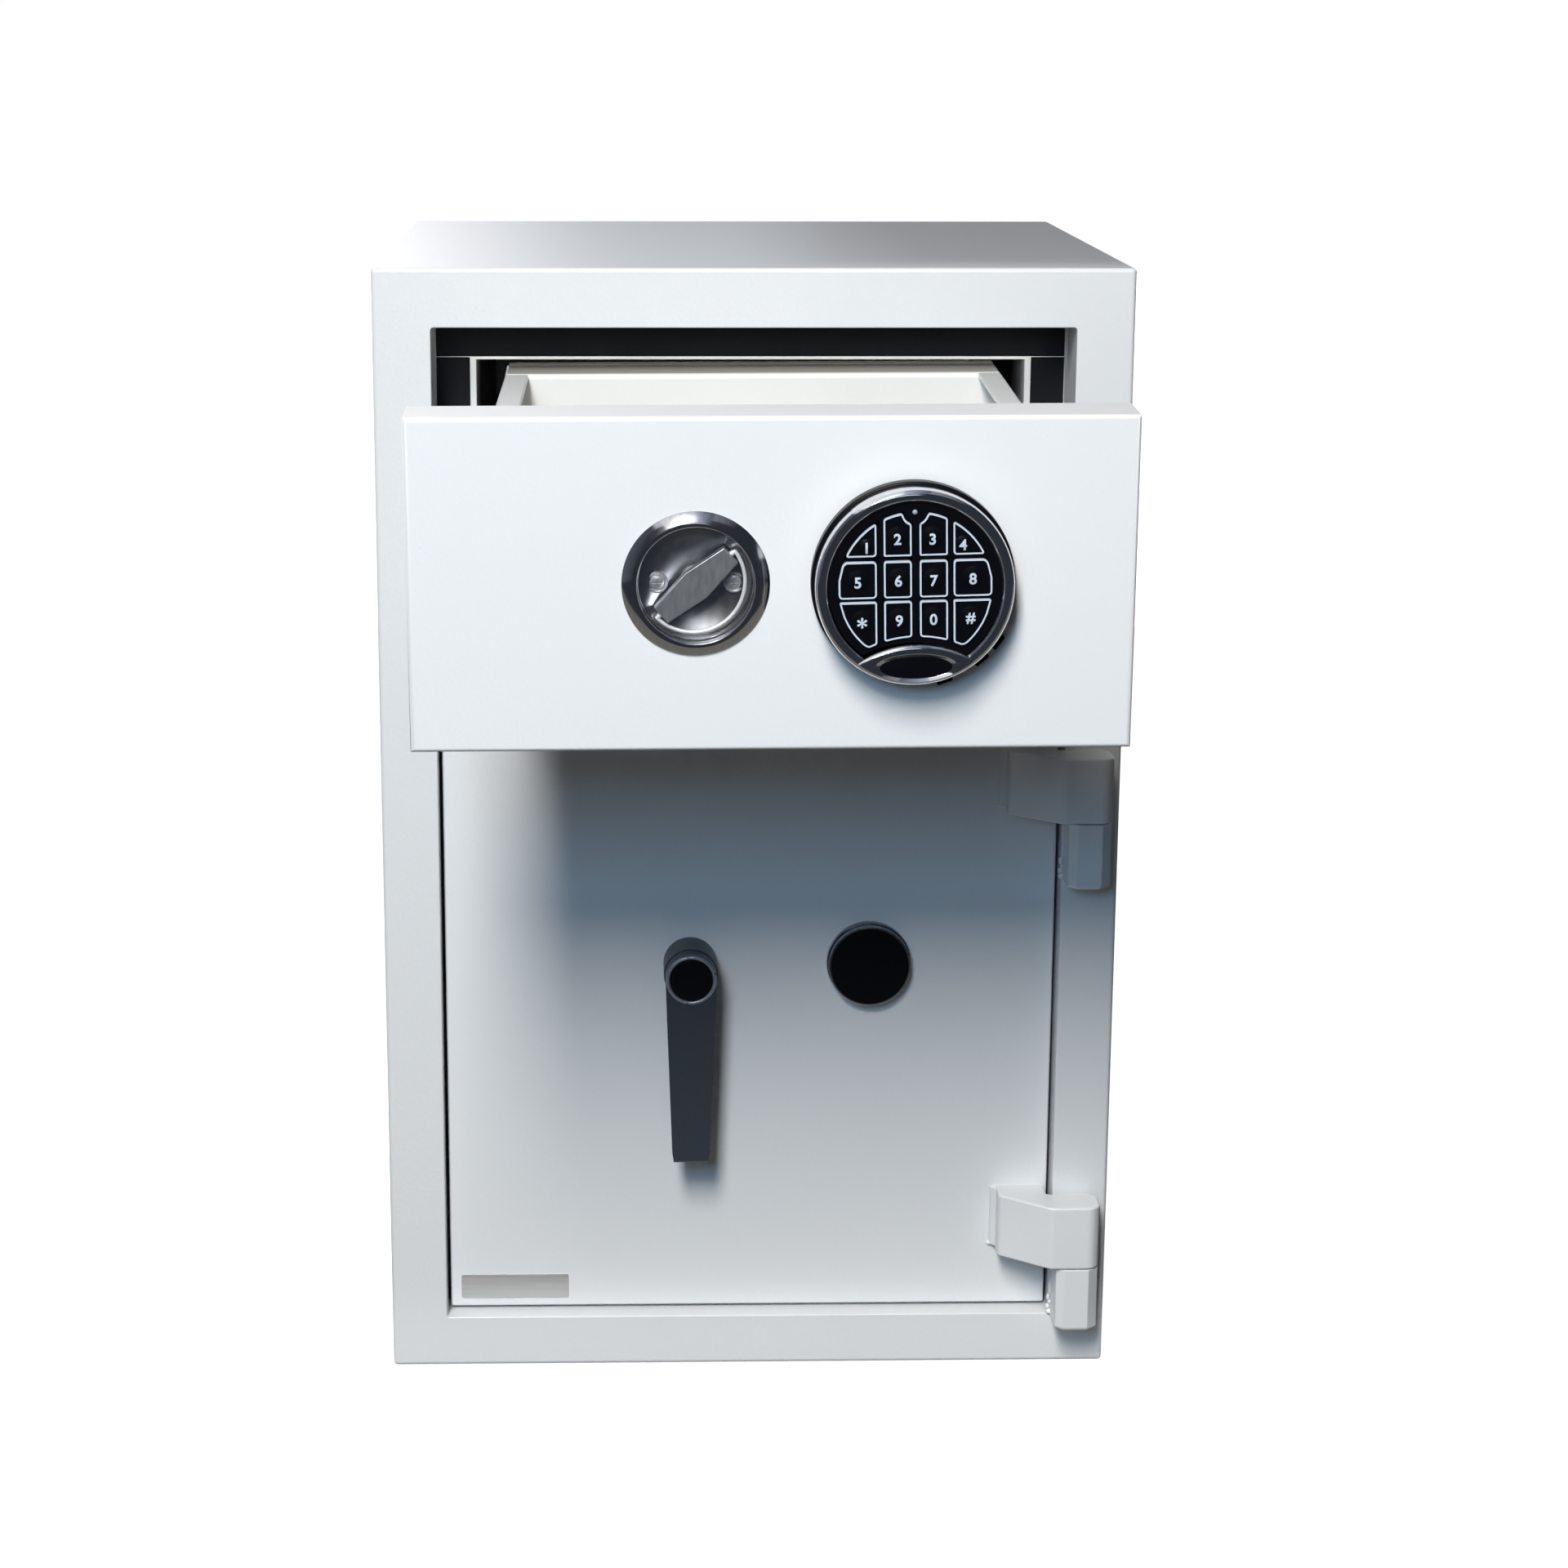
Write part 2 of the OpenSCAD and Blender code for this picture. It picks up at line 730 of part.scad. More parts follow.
// Disc that hangs over the keyway from a pin near its upper edge
module key_cover() {
    y1 = recess - key_base_t - face_gap;
    color(black) from_front() {
        rod_y(key_x, y1 - key_cover_t, y1, lever_z, key_cover_r);
        rod_y(key_x, y1 - cut, recess - 0.5, lever_z + cover_pin_z, 2);
    }
}

module door_lock_case() {
    color(steel) from_front() difference() {
        block([key_x - lock_w / 2, door_back, lever_z - door_lock_h / 2],
            [key_x + lock_w / 2, door_back + lock_d, lever_z + door_lock_h / 2]);
        rod_y(key_x, door_back - cut, plug_back + face_gap, lever_z, plug_r + run_gap);
    }
}

// Flat bar that stays behind the hinge-side jamb while the door is shut
module door_dead_bar() {
    x = door_x - cover_in;
    color(steel) from_front()
        block([x, bolt_y - 4, door_bot + dead_end],
            [open_x + dead_reach, bolt_y + 8, door_head - dead_end]);
}

// Three bolts on an upright bar, with the flat that runs behind the lever's cam
module door_bolts() {
    color(steel) from_front() {
        block([-bolt_bar_x, cam_back + face_gap, lever_z - 9],
            [lever_x + cam_r / 2, cam_back + face_gap + 4, lever_z + 9]);
        for (z = bolt_zs) rod_x(-bolt_tip, -bolt_bar_x + bolt_bar_w, bolt_y, z, bolt_r);
        block([-bolt_bar_x, bolt_y - 4, bolt_zs[0] - bolt_r - 4],
            [-bolt_bar_x + bolt_bar_w, bolt_y + 4, bolt_zs[2] + bolt_r + 4]);
    }
}

module lever_hub() {
    color(grey) from_front() {
        rod_y(lever_x, lever_back, recess - face_gap, lever_z, hub_r);
        rod_y(lever_x, lever_back, cam_back, lever_z, hub_spindle_r);
        rod_y(lever_x, cam_back - cam_t, cam_back, lever_z, cam_r);
    }
}

module lever_plate() {
    w = lever_w / 2;
    t = lever_tip_w / 2;
    color(grey) from_front() translate([lever_x, lever_back, lever_z]) rotate([90, 0, 0])
        linear_extrude(lever_t) {
            circle(r = w);
            polygon([[-w, 0], [w, 0], [t, -lever_l], [-t, -lever_l]]);
        }
}

module lever_cap() {
    color(black) from_front()
        rod_y(lever_x, lever_back - lever_t - 1.5, lever_back - lever_t, lever_z, cap_r);
}

// Drawer front with the pocket for the cup and the hole for the spindle
module drawer_front() {
    color(coat) drawer_out() difference() {
        intersection() {
            soft_block([-front_x, recess, front_bot], [front_x, recess + 2 * front_t, front_top],
                front_r);
            block([-front_x, recess, front_bot], [front_x, front_back, front_top]);
        }
        rod_y(rose_x, recess - cut, recess + cup_depth, rose_z, cup_r + sheet_t + 0.3);
        rod_y(rose_x, recess - cut, front_back + cut, rose_z, spindle_r + run_gap);
    }
}

module drawer_cover() {
    color(coat) drawer_out() difference() {
        block([-cover_x, front_back, cover_z[0]], [cover_x, cover_back, cover_z[1]]);
        block([-cover_x + sheet_t, front_back - cut, cover_z[0] + sheet_t],
            [cover_x - sheet_t, cover_back - sheet_t, cover_z[1] - sheet_t]);
        for (s = [-1, 1]) translate([s * lift_bolt_x, lift_y, cover_z[1] - sheet_t - cut])
            cylinder(h = sheet_t + 2 * cut, r = lift_bolt_r + run_gap);
    }
}

module tray_sides() {
    color(coat) drawer_out() both_sides() difference() {
        block([tray_x - sheet_t, front_back, tray_bot], [tray_x, tray_end, tray_top - sheet_t]);
        rod_x(tray_x - sheet_t - cut, tray_x + cut, pivot[1], slide_z, axle_r + run_gap);
        rod_x(tray_x - sheet_t - cut, tray_x + cut, trap_y, trap_z, trap_rod_r + run_gap);
    }
}

module slide_inners() {
    color(zinc) drawer_out() both_sides() difference() {
        block([tray_x, front_back + 8, slide_z - 7], [inner_x, tray_end - 4, slide_z - 7 + inner_h]);
        rod_x(tray_x - cut, inner_x + cut, pivot[1], slide_z, axle_r + run_gap);
    }
}

module tray_rims() {
    color(coat) drawer_out() both_sides()
        block([tray_x - rim_w, front_back, tray_top - sheet_t], [tray_x, back_wall, tray_top]);
}

module tray_back() {
    color(coat) drawer_out() block([-tray_x + sheet_t, back_wall - sheet_t, tray_bot],
        [tray_x - sheet_t, back_wall, tray_top - sheet_t]);
}

// Rear cover with its turned-down edge, which keeps hands out of the compartment
module tray_back_cover() {
    color(coat) drawer_out() {
        block([-tray_x, back_wall, tray_top - sheet_t], [tray_x, tray_end, tray_top]);
        block([-tray_x + sheet_t, tray_end - sheet_t, tray_bot + 8],
            [tray_x - sheet_t, tray_end, tray_top]);
    }
}

module tray_floor() {
    x = tray_x - sheet_t;
    color(coat) drawer_out() {
        block([-x, front_back, floor_z], [x, trap_y - trap_rod_r - floor_gap, floor_z + trap_t]);
        block([-x, trap_y + trap_l + floor_gap, floor_z], [x, back_wall - sheet_t, floor_z + trap_t]);
    }
}

// Sprung trap that drops the deposit through the deck, hinged at its front edge
module tray_trap() {
    x = tray_x - sheet_t - 2;
    color(coat) drawer_out() {
        block([-x, trap_y, floor_z], [x, trap_y + trap_l, floor_z + trap_t]);
        rod_x(-tray_x, tray_x, trap_y, trap_z, trap_rod_r);
    }
}

// Local frame of a fitting on the drawer front: its axis is +Z out of the face, +Y is up
module on_front(x, z) {
    drawer_out() translate([x, recess, z]) rotate([90, 0, 0]) children();
}

module pull_rose() {
    wall = sheet_t;
    color(steel) on_front(rose_x, rose_z) difference() {
        union() {
            rotate_extrude() {
                translate([cup_r, 0]) square([rose_r - cup_r - rose_t / 2, rose_t]);
                square([rose_r, rose_t / 2]);
                translate([rose_r - rose_t / 2, rose_t / 2]) circle(r = rose_t / 2);
            }
            translate([0, 0, -cup_depth]) cylinder(h = cup_depth, r = cup_r + wall);
            for (s = [-1, 1]) translate([s * screw_x, 0, -cup_depth]) cylinder(h = 3.5, r = screw_r);
        }
        difference() {
            translate([0, 0, -cup_depth + wall]) cylinder(h = cup_depth + rose_t, r = cup_r);
            for (s = [-1, 1])
                translate([s * screw_x, 0, -cup_depth]) cylinder(h = 3.5, r = screw_r);
        }
        translate([0, 0, -cup_depth - cut]) cylinder(h = 2 * cup_depth, r = spindle_r + run_gap);
    }
}

// Six-sided turn bar on its spindle, with the cam that lifts the bolts
module pull_bar() {
    top = rose_t - 0.5;
    tail = front_t + 10;
    l = bar_l / 2;
    color(steel) on_front(rose_x, rose_z) {
        rotate([0, 0, bar_angle]) difference() {
            translate([0, 0, top - bar_t]) linear_extrude(bar_t) polygon([[-l, -bar_end_w / 2],
                [0, -bar_w / 2], [l, -bar_end_w / 2], [l, bar_end_w / 2], [0, bar_w / 2],
                [-l, bar_end_w / 2]]);
            rod_x(-l - cut, -l + 4, 0, top - bar_t / 2, 1 + run_gap);
            rod_x(l - 4, l + cut, 0, top - bar_t / 2, 1 + run_gap);
        }
        translate([0, 0, -tail]) cylinder(h = tail + top - bar_t / 2, r = spindle_r);
        translate([0, 0, -tail]) cylinder(h = cam_t, r = pull_cam_r);
    }
}

// Thin D ring, folded down beside the turn bar
module pull_ring() {
    z = rose_t - 0.5 - bar_t / 2;
    half = bar_l / 2 + 3;
    drop = sqrt(ring_r * ring_r - half * half);
    color(chrome) on_front(rose_x, rose_z) rotate([0, 0, bar_angle]) translate([0, 0, z]) {
        intersection() {
            translate([0, drop, 0]) rotate_extrude() translate([ring_r, 0]) circle(r = wire_r);
            block([-rose_r, -rose_r, -5], [rose_r, 0, 5]);
        }
        both_sides() rod_x(half - 6, half + wire_r / 2, 0, 0, 1);
    }
}

// Two bolts on one bar, down at rest
module drawer_bolts() {
    color(steel) drawer_out() {
        for (s = [-1, 1]) translate([s * lift_bolt_x, lift_y, lift_bar_z])
            cylinder(h = lift_tip - lift_bar_z, r = lift_bolt_r);
        block([-lift_bolt_x - lift_bolt_r, lift_y - 4, lift_bar_z],
            [lift_bolt_x + lift_bolt_r, lift_y + 4, lift_bar_z + lift_bar_h]);
    }
}

module drawer_lock() {
    color(steel) drawer_out()
        block([keypad_x - lock_w / 2, front_back, keypad_z - drawer_lock_drop],
            [keypad_x + lock_w / 2, front_back + lock_d, keypad_z + drawer_lock_rise]);
}

module keypad_base() {
    color(black) on_front(keypad_x, keypad_z) {
        cylinder(h = base_t - 1, r = base_r);
        cylinder(h = base_t, r = base_r - 1);
        rotate([0, 0, -tab_angle])
            block([base_r - tab_w / 2, -tab_w / 2, 0], [base_r + tab_out, tab_w / 2, base_t - 2]);
    }
}

// Polished ring, with the bridge over its lower part
module keypad_bezel() {
    round_r = (bezel_r - face_r) / 2;
    color(chrome) on_front(keypad_x, keypad_z) {
        rotate_extrude() {
            translate([face_r, base_t]) square([bezel_r - face_r, bezel_t - base_t - round_r]);
            translate([face_r + round_r, bezel_t - round_r]) circle(r = round_r);
        }
        translate([0, 0, base_t]) intersection() {
            cylinder(h = bezel_t - base_t - face_sink + 3, r = face_r + 1);
            translate([0, arch_z, 0]) cylinder(h = bezel_t, r = arch_r);
        }
    }
}

// Outline of a key, clipped by the ring, the bridge and the notch round the lamp
module key_outline(i, grow) {
    c = key_column[i % 4];
    r = key_row[floor(i / 4)];
    difference() {
        intersection() {
            translate([c[0] - grow, r[0] - grow])
                square([c[1] - c[0] + 2 * grow, r[1] - r[0] + 2 * grow]);
            circle(r = keys_r + grow);
        }
        translate([0, arch_z]) circle(r = key_arch_r - grow);
        translate([0, lamp_z]) circle(r = lamp_notch - grow);
    }
}

module keypad_face() {
    top = bezel_t - face_sink;
    color(black) on_front(keypad_x, keypad_z) difference() {
        translate([0, 0, base_t]) cylinder(h = top - base_t, r = face_r);
        translate([0, arch_z, base_t - cut]) cylinder(h = bezel_t, r = arch_r);
        for (i = [0:11]) translate([0, 0, top + key_proud - key_t - key_travel - 0.2])
            linear_extrude(face_t) key_outline(i, key_gap);
    }
}

// One key: a flat pad with a low dome under the figure
module key(i) {
    top = bezel_t - face_sink + key_proud;
    rise = 0.8;
    ball = (dome_r * dome_r + rise * rise) / (2 * rise);
    color(black) on_front(keypad_x, keypad_z) {
        translate([0, 0, top - key_t]) linear_extrude(key_t) key_outline(i, 0);
        intersection() {
            translate([dome_at[i][0], dome_at[i][1], top + rise - ball]) sphere(r = ball);
            translate([0, 0, top - key_t]) linear_extrude(key_t + rise) key_outline(i, 0);
            translate([dome_at[i][0], dome_at[i][1], top - key_t / 2])
                cylinder(h = key_t, r = dome_r + 0.5);
        }
    }
}

outer_sides();
outer_top_and_base();
outer_back();
frame_jambs();
frame_rails();
liner_sides();
liner_floor_and_ceiling();
liner_back();
wall_fill();
drop_deck();
drawer_reveals();
sleeve_sides();
sleeve_top();
seal_strips();
slide_outers();
hinge_knuckles();
hinge_pins();
door_panel();
door_cover();
hinge_leaves();
key_base();
door_lock_case();
door_dead_bar();
door_bolts();
lever_hub();
lever_plate();
lever_cap();
key_plug();
key_cover();
slide_middles();
slide_rollers();
drawer_front();
drawer_cover();
tray_sides();
slide_inners();
tray_rims();
tray_back();
tray_back_cover();
tray_floor();
pull_rose();
keypad_base();
keypad_bezel();
keypad_face();
drawer_lock();
pull_bar();
pull_ring();
drawer_bolts();
tray_trap();
for (i = [0:11])
    key(i);
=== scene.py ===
import bmesh
import bpy
from math import atan2, cos, degrees, exp, pi, radians, sin, sqrt
from mathutils import Matrix, Vector


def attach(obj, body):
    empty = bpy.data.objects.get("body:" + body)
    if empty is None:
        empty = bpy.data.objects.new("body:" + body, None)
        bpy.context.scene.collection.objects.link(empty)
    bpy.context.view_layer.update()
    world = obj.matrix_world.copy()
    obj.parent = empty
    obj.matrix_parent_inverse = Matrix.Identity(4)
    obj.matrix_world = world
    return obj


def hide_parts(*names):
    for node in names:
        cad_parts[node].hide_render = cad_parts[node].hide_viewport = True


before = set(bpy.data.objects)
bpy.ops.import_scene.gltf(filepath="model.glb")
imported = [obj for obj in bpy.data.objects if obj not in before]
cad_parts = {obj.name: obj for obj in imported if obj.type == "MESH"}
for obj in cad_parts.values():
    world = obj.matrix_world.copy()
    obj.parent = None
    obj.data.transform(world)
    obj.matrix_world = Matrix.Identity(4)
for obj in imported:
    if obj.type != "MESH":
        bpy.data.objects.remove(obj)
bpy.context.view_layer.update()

# Camera: about 2.1 m in front of the safe, a hand's width left of its middle and a little above
# it, looking slightly down.
camera = bpy.data.objects.new("camera", bpy.data.cameras.new("camera"))
camera.data.lens = 76.10
camera.data.shift_x, camera.data.shift_y = 0.0503, 0.01777
camera.location = (-0.08719, -2.3604, 0.91904)
camera.rotation_euler = (radians(90 - 13.844), radians(-0.146), radians(-1.474))
bpy.context.scene.collection.objects.link(camera)
bpy.context.scene.camera = camera
bpy.context.scene.view_settings.view_transform = "Standard"


# Surround: an even white room that shows behind the safe and in its metal, and gives the safe
# itself only a weak bluish fill.
class Wire:
    """One socket of a node tree. Sums, differences and products on it add Math nodes."""

    def __init__(self, tree, socket=None):
        self.tree, self.socket = tree, socket

    def node(self, kind, settings, sockets, out=0):
        made = self.tree.nodes.new(kind)
        for name, value in settings.items():
            if name == "stops":
                ramp = made.color_ramp
                ramp.elements.remove(ramp.elements[1])
                ramp.elements[0].position, ramp.elements[0].color = value[0]
                for at, shade in value[1:]:
                    ramp.elements.new(at).color = shade
            else:
                setattr(made, name, value)
        for name, value in sockets.items():
            if isinstance(value, Wire):
                self.tree.links.new(value.socket, made.inputs[name])
            else:
                made.inputs[name].default_value = value
        return Wire(self.tree, made.outputs[out])

    def sum(self, operation, first, second):
        return self.node("ShaderNodeMath", {"operation": operation}, {0: first, 1: second})

    def __add__(self, other):
        return self.sum("ADD", self, other)

    def __sub__(self, other):
        return self.sum("SUBTRACT", self, other)

    def __rsub__(self, other):
        return self.sum("SUBTRACT", other, self)

    def __mul__(self, other):
        return self.sum("MULTIPLY", self, other)

    __radd__, __rmul__ = __add__, __mul__

    def between(self, low, high):
        return self.node("ShaderNodeMapRange", {}, {"Value": self, "From Min": low, "From Max": high})

    def tint(self, dark, light):
        """Colour that runs from dark to light as this value goes from 0 to 1."""
        return self.node("ShaderNodeMix", {"data_type": "RGBA"}, {0: self, 6: dark, 7: light}, 2)

    def noise(self, scale, detail=2.0, rough=0.5, stretch=(1, 1, 1)):
        place = self.node("ShaderNodeTexCoord", {}, {}, "Object")
        turned = self.node("ShaderNodeMapping", {}, {"Vector": place, "Scale": stretch})
        return self.node("ShaderNodeTexNoise", {}, {"Vector": turned, "Scale": scale,
                                                    "Detail": detail, "Roughness": rough})

    def height(self, which):
        """Object coordinate along X, Y or Z, in metres."""
        place = self.node("ShaderNodeTexCoord", {}, {}, "Object")
        return self.node("ShaderNodeSeparateXYZ", {}, {0: place}, which)

    def bump(self, depth, strength=1.0):
        return self.node("ShaderNodeBump", {}, {"Height": self, "Distance": depth,
                                                "Strength": strength}, "Normal")

    def feeds(self, shader, socket):
        self.tree.links.new(self.socket, shader.inputs[socket])


def seen_directly(wire):
    """1 for what the camera sees, also in metal or through glass, and 0 for light that falls."""
    rays = wire.node("ShaderNodeLightPath", {}, {})
    outs = rays.socket.node.outputs
    seen = rays.sum("MAXIMUM", rays, Wire(wire.tree, outs["Is Glossy Ray"]))
    return seen.sum("MAXIMUM", seen, Wire(wire.tree, outs["Is Transmission Ray"]))


room = bpy.data.worlds.new("room")
bpy.context.scene.world = room
room.use_nodes = True
air = room.node_tree.nodes["Background"]
seen = seen_directly(Wire(room.node_tree))
seen.tint((0.60, 0.82, 1.06, 1), (1, 1, 1, 1)).feeds(air, "Color")
(seen * 0.986 + 0.014).feeds(air, "Strength")

# Floor: pale sealed studio floor, lifted to white for the eye so that it runs into the room
# without an edge. It lies a hair under the base.
FLOOR_HALF, FLOOR_DROP = 9.0, 0.0004
ground = bmesh.new()
bmesh.ops.create_grid(ground, x_segments=1, y_segments=1, size=FLOOR_HALF)
floor_mesh = bpy.data.meshes.new("floor")
ground.to_mesh(floor_mesh)
floor = bpy.data.objects.new("floor", floor_mesh)
floor.location.z = -FLOOR_DROP
bpy.context.scene.collection.objects.link(floor)
sealed = bpy.data.materials.new("sealed_floor")
sealed.use_nodes = True
gloss = sealed.node_tree.nodes["Principled BSDF"]
gloss.inputs["Roughness"].default_value = 0.16
gloss.inputs["Emission Strength"].default_value = 1.0
seen = seen_directly(Wire(sealed.node_tree))
seen.tint((0.02, 0.02, 0.02, 1), (0.40, 0.40, 0.40, 1)).feeds(gloss, "Base Color")
seen.tint((0, 0, 0, 1), (0.94, 0.94, 0.94, 1)).feeds(gloss, "Emission Color")
floor_mesh.materials.append(sealed)


# Lamps: one tall narrow softbox high to the left of the camera draws the shadow under the
# drawer, a bluish one below it colours that shadow's edge, one on each side keeps the flanks and
# back readable, and two tiny ones brighten the tray and the flange round the opening.
def lamp(name, azimuth, elevation, distance, aim, width, tall, power, shade, mirrored=False):
    """A flat lamp hung at an angle and a distance from the spot that it aims at."""
    light = bpy.data.lights.new(name, "AREA")
    light.shape, light.size, light.size_y = "RECTANGLE", width, tall
    light.energy, light.color = power, shade
    hung = bpy.data.objects.new(name, light)
    a, e = radians(azimuth), radians(elevation)
    away = Vector((sin(a) * cos(e), -cos(a) * cos(e), sin(e)))
    hung.location = Vector(aim) + away * distance
    hung.rotation_euler = away.to_track_quat("Z", "Y").to_euler()
    hung.visible_camera, hung.visible_glossy = False, mirrored
    bpy.context.scene.collection.objects.link(hung)


LOW_DOOR, SAFE_MIDDLE = (0, -0.226, 0.25), (0, 0, 0.4)
DAYLIGHT = (0.92, 0.96, 1.0)
lamp("softbox", -13, 42, 4.2, LOW_DOOR, 0.72, 1.7, 176, (1.0, 0.972, 0.93), mirrored=True)
lamp("low_softbox", -13, 23, 3.0, LOW_DOOR, 0.6, 0.6, 18, (0.42, 0.69, 1.0))
lamp("left_low", -118, 12, 2.2, SAFE_MIDDLE, 1.0, 1.4, 22, DAYLIGHT)
lamp("right_low", 140, 12, 2.2, SAFE_MIDDLE, 1.0, 1.4, 15, DAYLIGHT)
lamp("tray_glow", 90, 0, 0, (0.06, -0.36, 0.61), 0.18, 0.08, 0.035, (1.0, 0.95, 0.84))
lamp("mouth_glow", 0, 10, 0, (0, -0.186, 0.6895), 0.39, 0.004, 0.035, (1.0, 0.93, 0.80))


# Cards: dark and pale boards that stand round the safe like the walls of a tent. Only polished
# metal and gloss paint see them, and they cast no light or shadow.
def card(name, low, high, shade, far, axis=0):
    """One board, whose shade runs from one end to the other along an axis."""
    board = bmesh.new()
    low, high = Vector(low), Vector(high)
    flat = min(range(3), key=lambda i: high[i] - low[i])
    corners = [low.copy() for _ in range(4)]
    u, v = [i for i in range(3) if i != flat]
    corners[1][u] = corners[2][u] = high[u]
    corners[2][v] = corners[3][v] = high[v]
    board.faces.new([board.verts.new(c) for c in corners])
    mesh = bpy.data.meshes.new(name)
    board.to_mesh(mesh)
    made = bpy.data.objects.new(name, mesh)
    made.visible_camera = made.visible_diffuse = made.visible_shadow = False
    made.visible_transmission = False
    bpy.context.scene.collection.objects.link(made)
    paint = bpy.data.materials.new(name)
    paint.use_nodes = True
    skin = paint.node_tree.nodes["Principled BSDF"]
    skin.inputs["Base Color"].default_value = (0, 0, 0, 1)
    skin.inputs["Specular IOR Level"].default_value = 0
    skin.inputs["Emission Strength"].default_value = 1.0
    run = Wire(paint.node_tree).height("XYZ"[axis]).between(low[axis], high[axis])
    run.tint((*shade, 1), (*far, 1)).feeds(skin, "Emission Color")
    mesh.materials.append(paint)
    return made, skin, paint


NIGHT = (0.030, 0.036, 0.048)
SIDE, NEAR, FAR, ROOF, LOW = 3.0, -3.6, 2.6, 3.8, 0.012
SILL, SKYLINE, CANOPY = 0.70, 1.18, 1.90
card("dark_left", (-SIDE, NEAR, 0.0), (-SIDE, -0.5, ROOF), NIGHT, (0.15, 0.165, 0.20), 1)
card("dark_left_rear", (-SIDE, -0.5, 0.0), (-SIDE, FAR, ROOF), (0.08, 0.09, 0.11), NIGHT, 1)
card("dark_right", (SIDE, NEAR, 0.0), (SIDE, FAR, ROOF), NIGHT, NIGHT)
card("dark_front", (-SIDE, NEAR, 0.0), (SIDE, NEAR, ROOF), NIGHT, NIGHT)
card("dark_over", (-SIDE, NEAR, ROOF), (SIDE, 0.3, ROOF), (0.75, 0.78, 0.85), (0.05, 0.05, 0.06))
card("dark_low", (-SIDE, NEAR, LOW), (SIDE, -0.95, LOW), (0.030, 0.034, 0.044), (0.035, 0.040, 0.050), 1)
card("warm_low", (-SIDE, -0.95, LOW), (SIDE, -0.30, LOW), (0.19, 0.18, 0.16), (0.22, 0.21, 0.18), 1)
for hand, low, high in (("left", -SIDE, -0.30), ("right", 0.30, SIDE)):
    card("dark_low_" + hand, (low, -0.30, LOW), (high, FAR, LOW), NIGHT, NIGHT)
card("glow_front", (-0.36, -3.5, 1.50), (0.40, -3.5, 2.06), (1.3, 1.36, 1.45), (0.95, 1.0, 1.07))
card("bright_behind", (-0.9, FAR, SILL), (-0.12, FAR, ROOF), (4.0, 4.0, 4.0), (0.32, 0.37, 0.48))
card("grey_behind", (-0.12, FAR, SILL), (0.20, FAR, SKYLINE), (0.32, 0.37, 0.48), (0.20, 0.23, 0.30))
card("dark_behind", (0.20, FAR, SILL), (SIDE, FAR, SKYLINE), (0.014, 0.018, 0.026), (0.03, 0.036, 0.048))
card("sky_behind", (-0.12, FAR, SKYLINE), (0.60, FAR, ROOF), (0.36, 0.40, 0.48), (0.12, 0.14, 0.17))
card("night_behind", (0.60, FAR, SKYLINE), (SIDE, FAR, ROOF), (0.12, 0.14, 0.17), NIGHT)
card("pale_over", (-0.95, -2.40, CANOPY), (-0.02, -0.20, CANOPY), (1.0, 1.0, 1.0), (0.75, 0.78, 0.86))
card("grey_over", (-0.02, -2.40, CANOPY), (0.42, -0.20, CANOPY), (0.44, 0.48, 0.60), (0.08, 0.10, 0.16))

# Net: a grey gauze stretched just over the right of the safe. It holds back part of the key
# light there, thicker to the right, and nothing else sees it.
NET_LEFT, NET_FULL, NET_THREAD = -0.02, 0.10, 0.40
net, weave, gauze = card("net", (NET_LEFT, -0.252, 0.80), (0.30, 0.30, 0.80), (0, 0, 0), (0, 0, 0))
net.visible_shadow, net.visible_glossy = True, False
across = Wire(gauze.node_tree).height("X").between(NET_LEFT, NET_FULL)
(across * NET_THREAD).feeds(weave, "Alpha")


# Body shell: skin and front frame are 4 mm and 30 mm steel plate, welded, ground flush and
# powder coated as one, so they are one skin here. All sizes from here on are millimetres,
# with y counted back from the front face.
BODY_W, BODY_D, BODY_H = 490, 452, 750
SKIN, FRAME_DEEP = 4, 30
OPEN_X, DOOR_OPENING, DRAWER_OPENING = 207.5, (35.4, 484), (515.5, 712)
ANCHOR_X, ANCHOR_Y, ANCHOR_R = (-170, 170), (76, 376), 7
FRONT = Matrix.Translation((0, -BODY_D / 2000, 0)) @ Matrix.Scale(0.001, 4)
FLAT = 0.5


def finish(name, constants):
    """A new material with its own constants, its shader, and a wire to draw patterns with."""
    material = bpy.data.materials.new(name)
    material.use_nodes = True
    shader = material.node_tree.nodes["Principled BSDF"]
    for socket, value in constants.items():
        shader.inputs[socket].default_value = value
    return material, shader, Wire(material.node_tree)


def powder_coat(name, pale, deep, grain, depth, low, high, gloss=0.5, lacquer=0.3, pores=0.35):
    """Baked powder coat: orange-peel grain, with slightly uneven colour and gloss."""
    material, shader, wire = finish(name, {"Specular IOR Level": gloss, "Coat Weight": lacquer,
                                           "Coat Roughness": 0.30})
    cloud = wire.noise(9.0, 3.0, 0.6)
    peel = wire.noise(grain, 2.0, 0.55)
    fine = wire.noise(grain * 3.1, 1.0, 0.5)
    cloud.tint(deep, pale).feeds(shader, "Base Color")
    (peel * (high - low) + low).feeds(shader, "Roughness")
    (peel + fine * pores).bump(depth, 0.55).feeds(shader, "Normal")
    return material


coat = powder_coat("coat", (0.79, 0.80, 0.805, 1), (0.76, 0.77, 0.778, 1), 330, 0.00030, 0.24, 0.46,
                   pores=0.7)
# The drawer front gets a lighter copy of the same coat: painted light, making its front and top face
# brighter than the lamps alone make them.
painted_light_coat = powder_coat("drawer_coat_lit_copy", (0.835, 0.843, 0.847, 1), (0.815, 0.823, 0.829, 1), 330,
                         0.00022, 0.36, 0.50, gloss=0.22, lacquer=0)


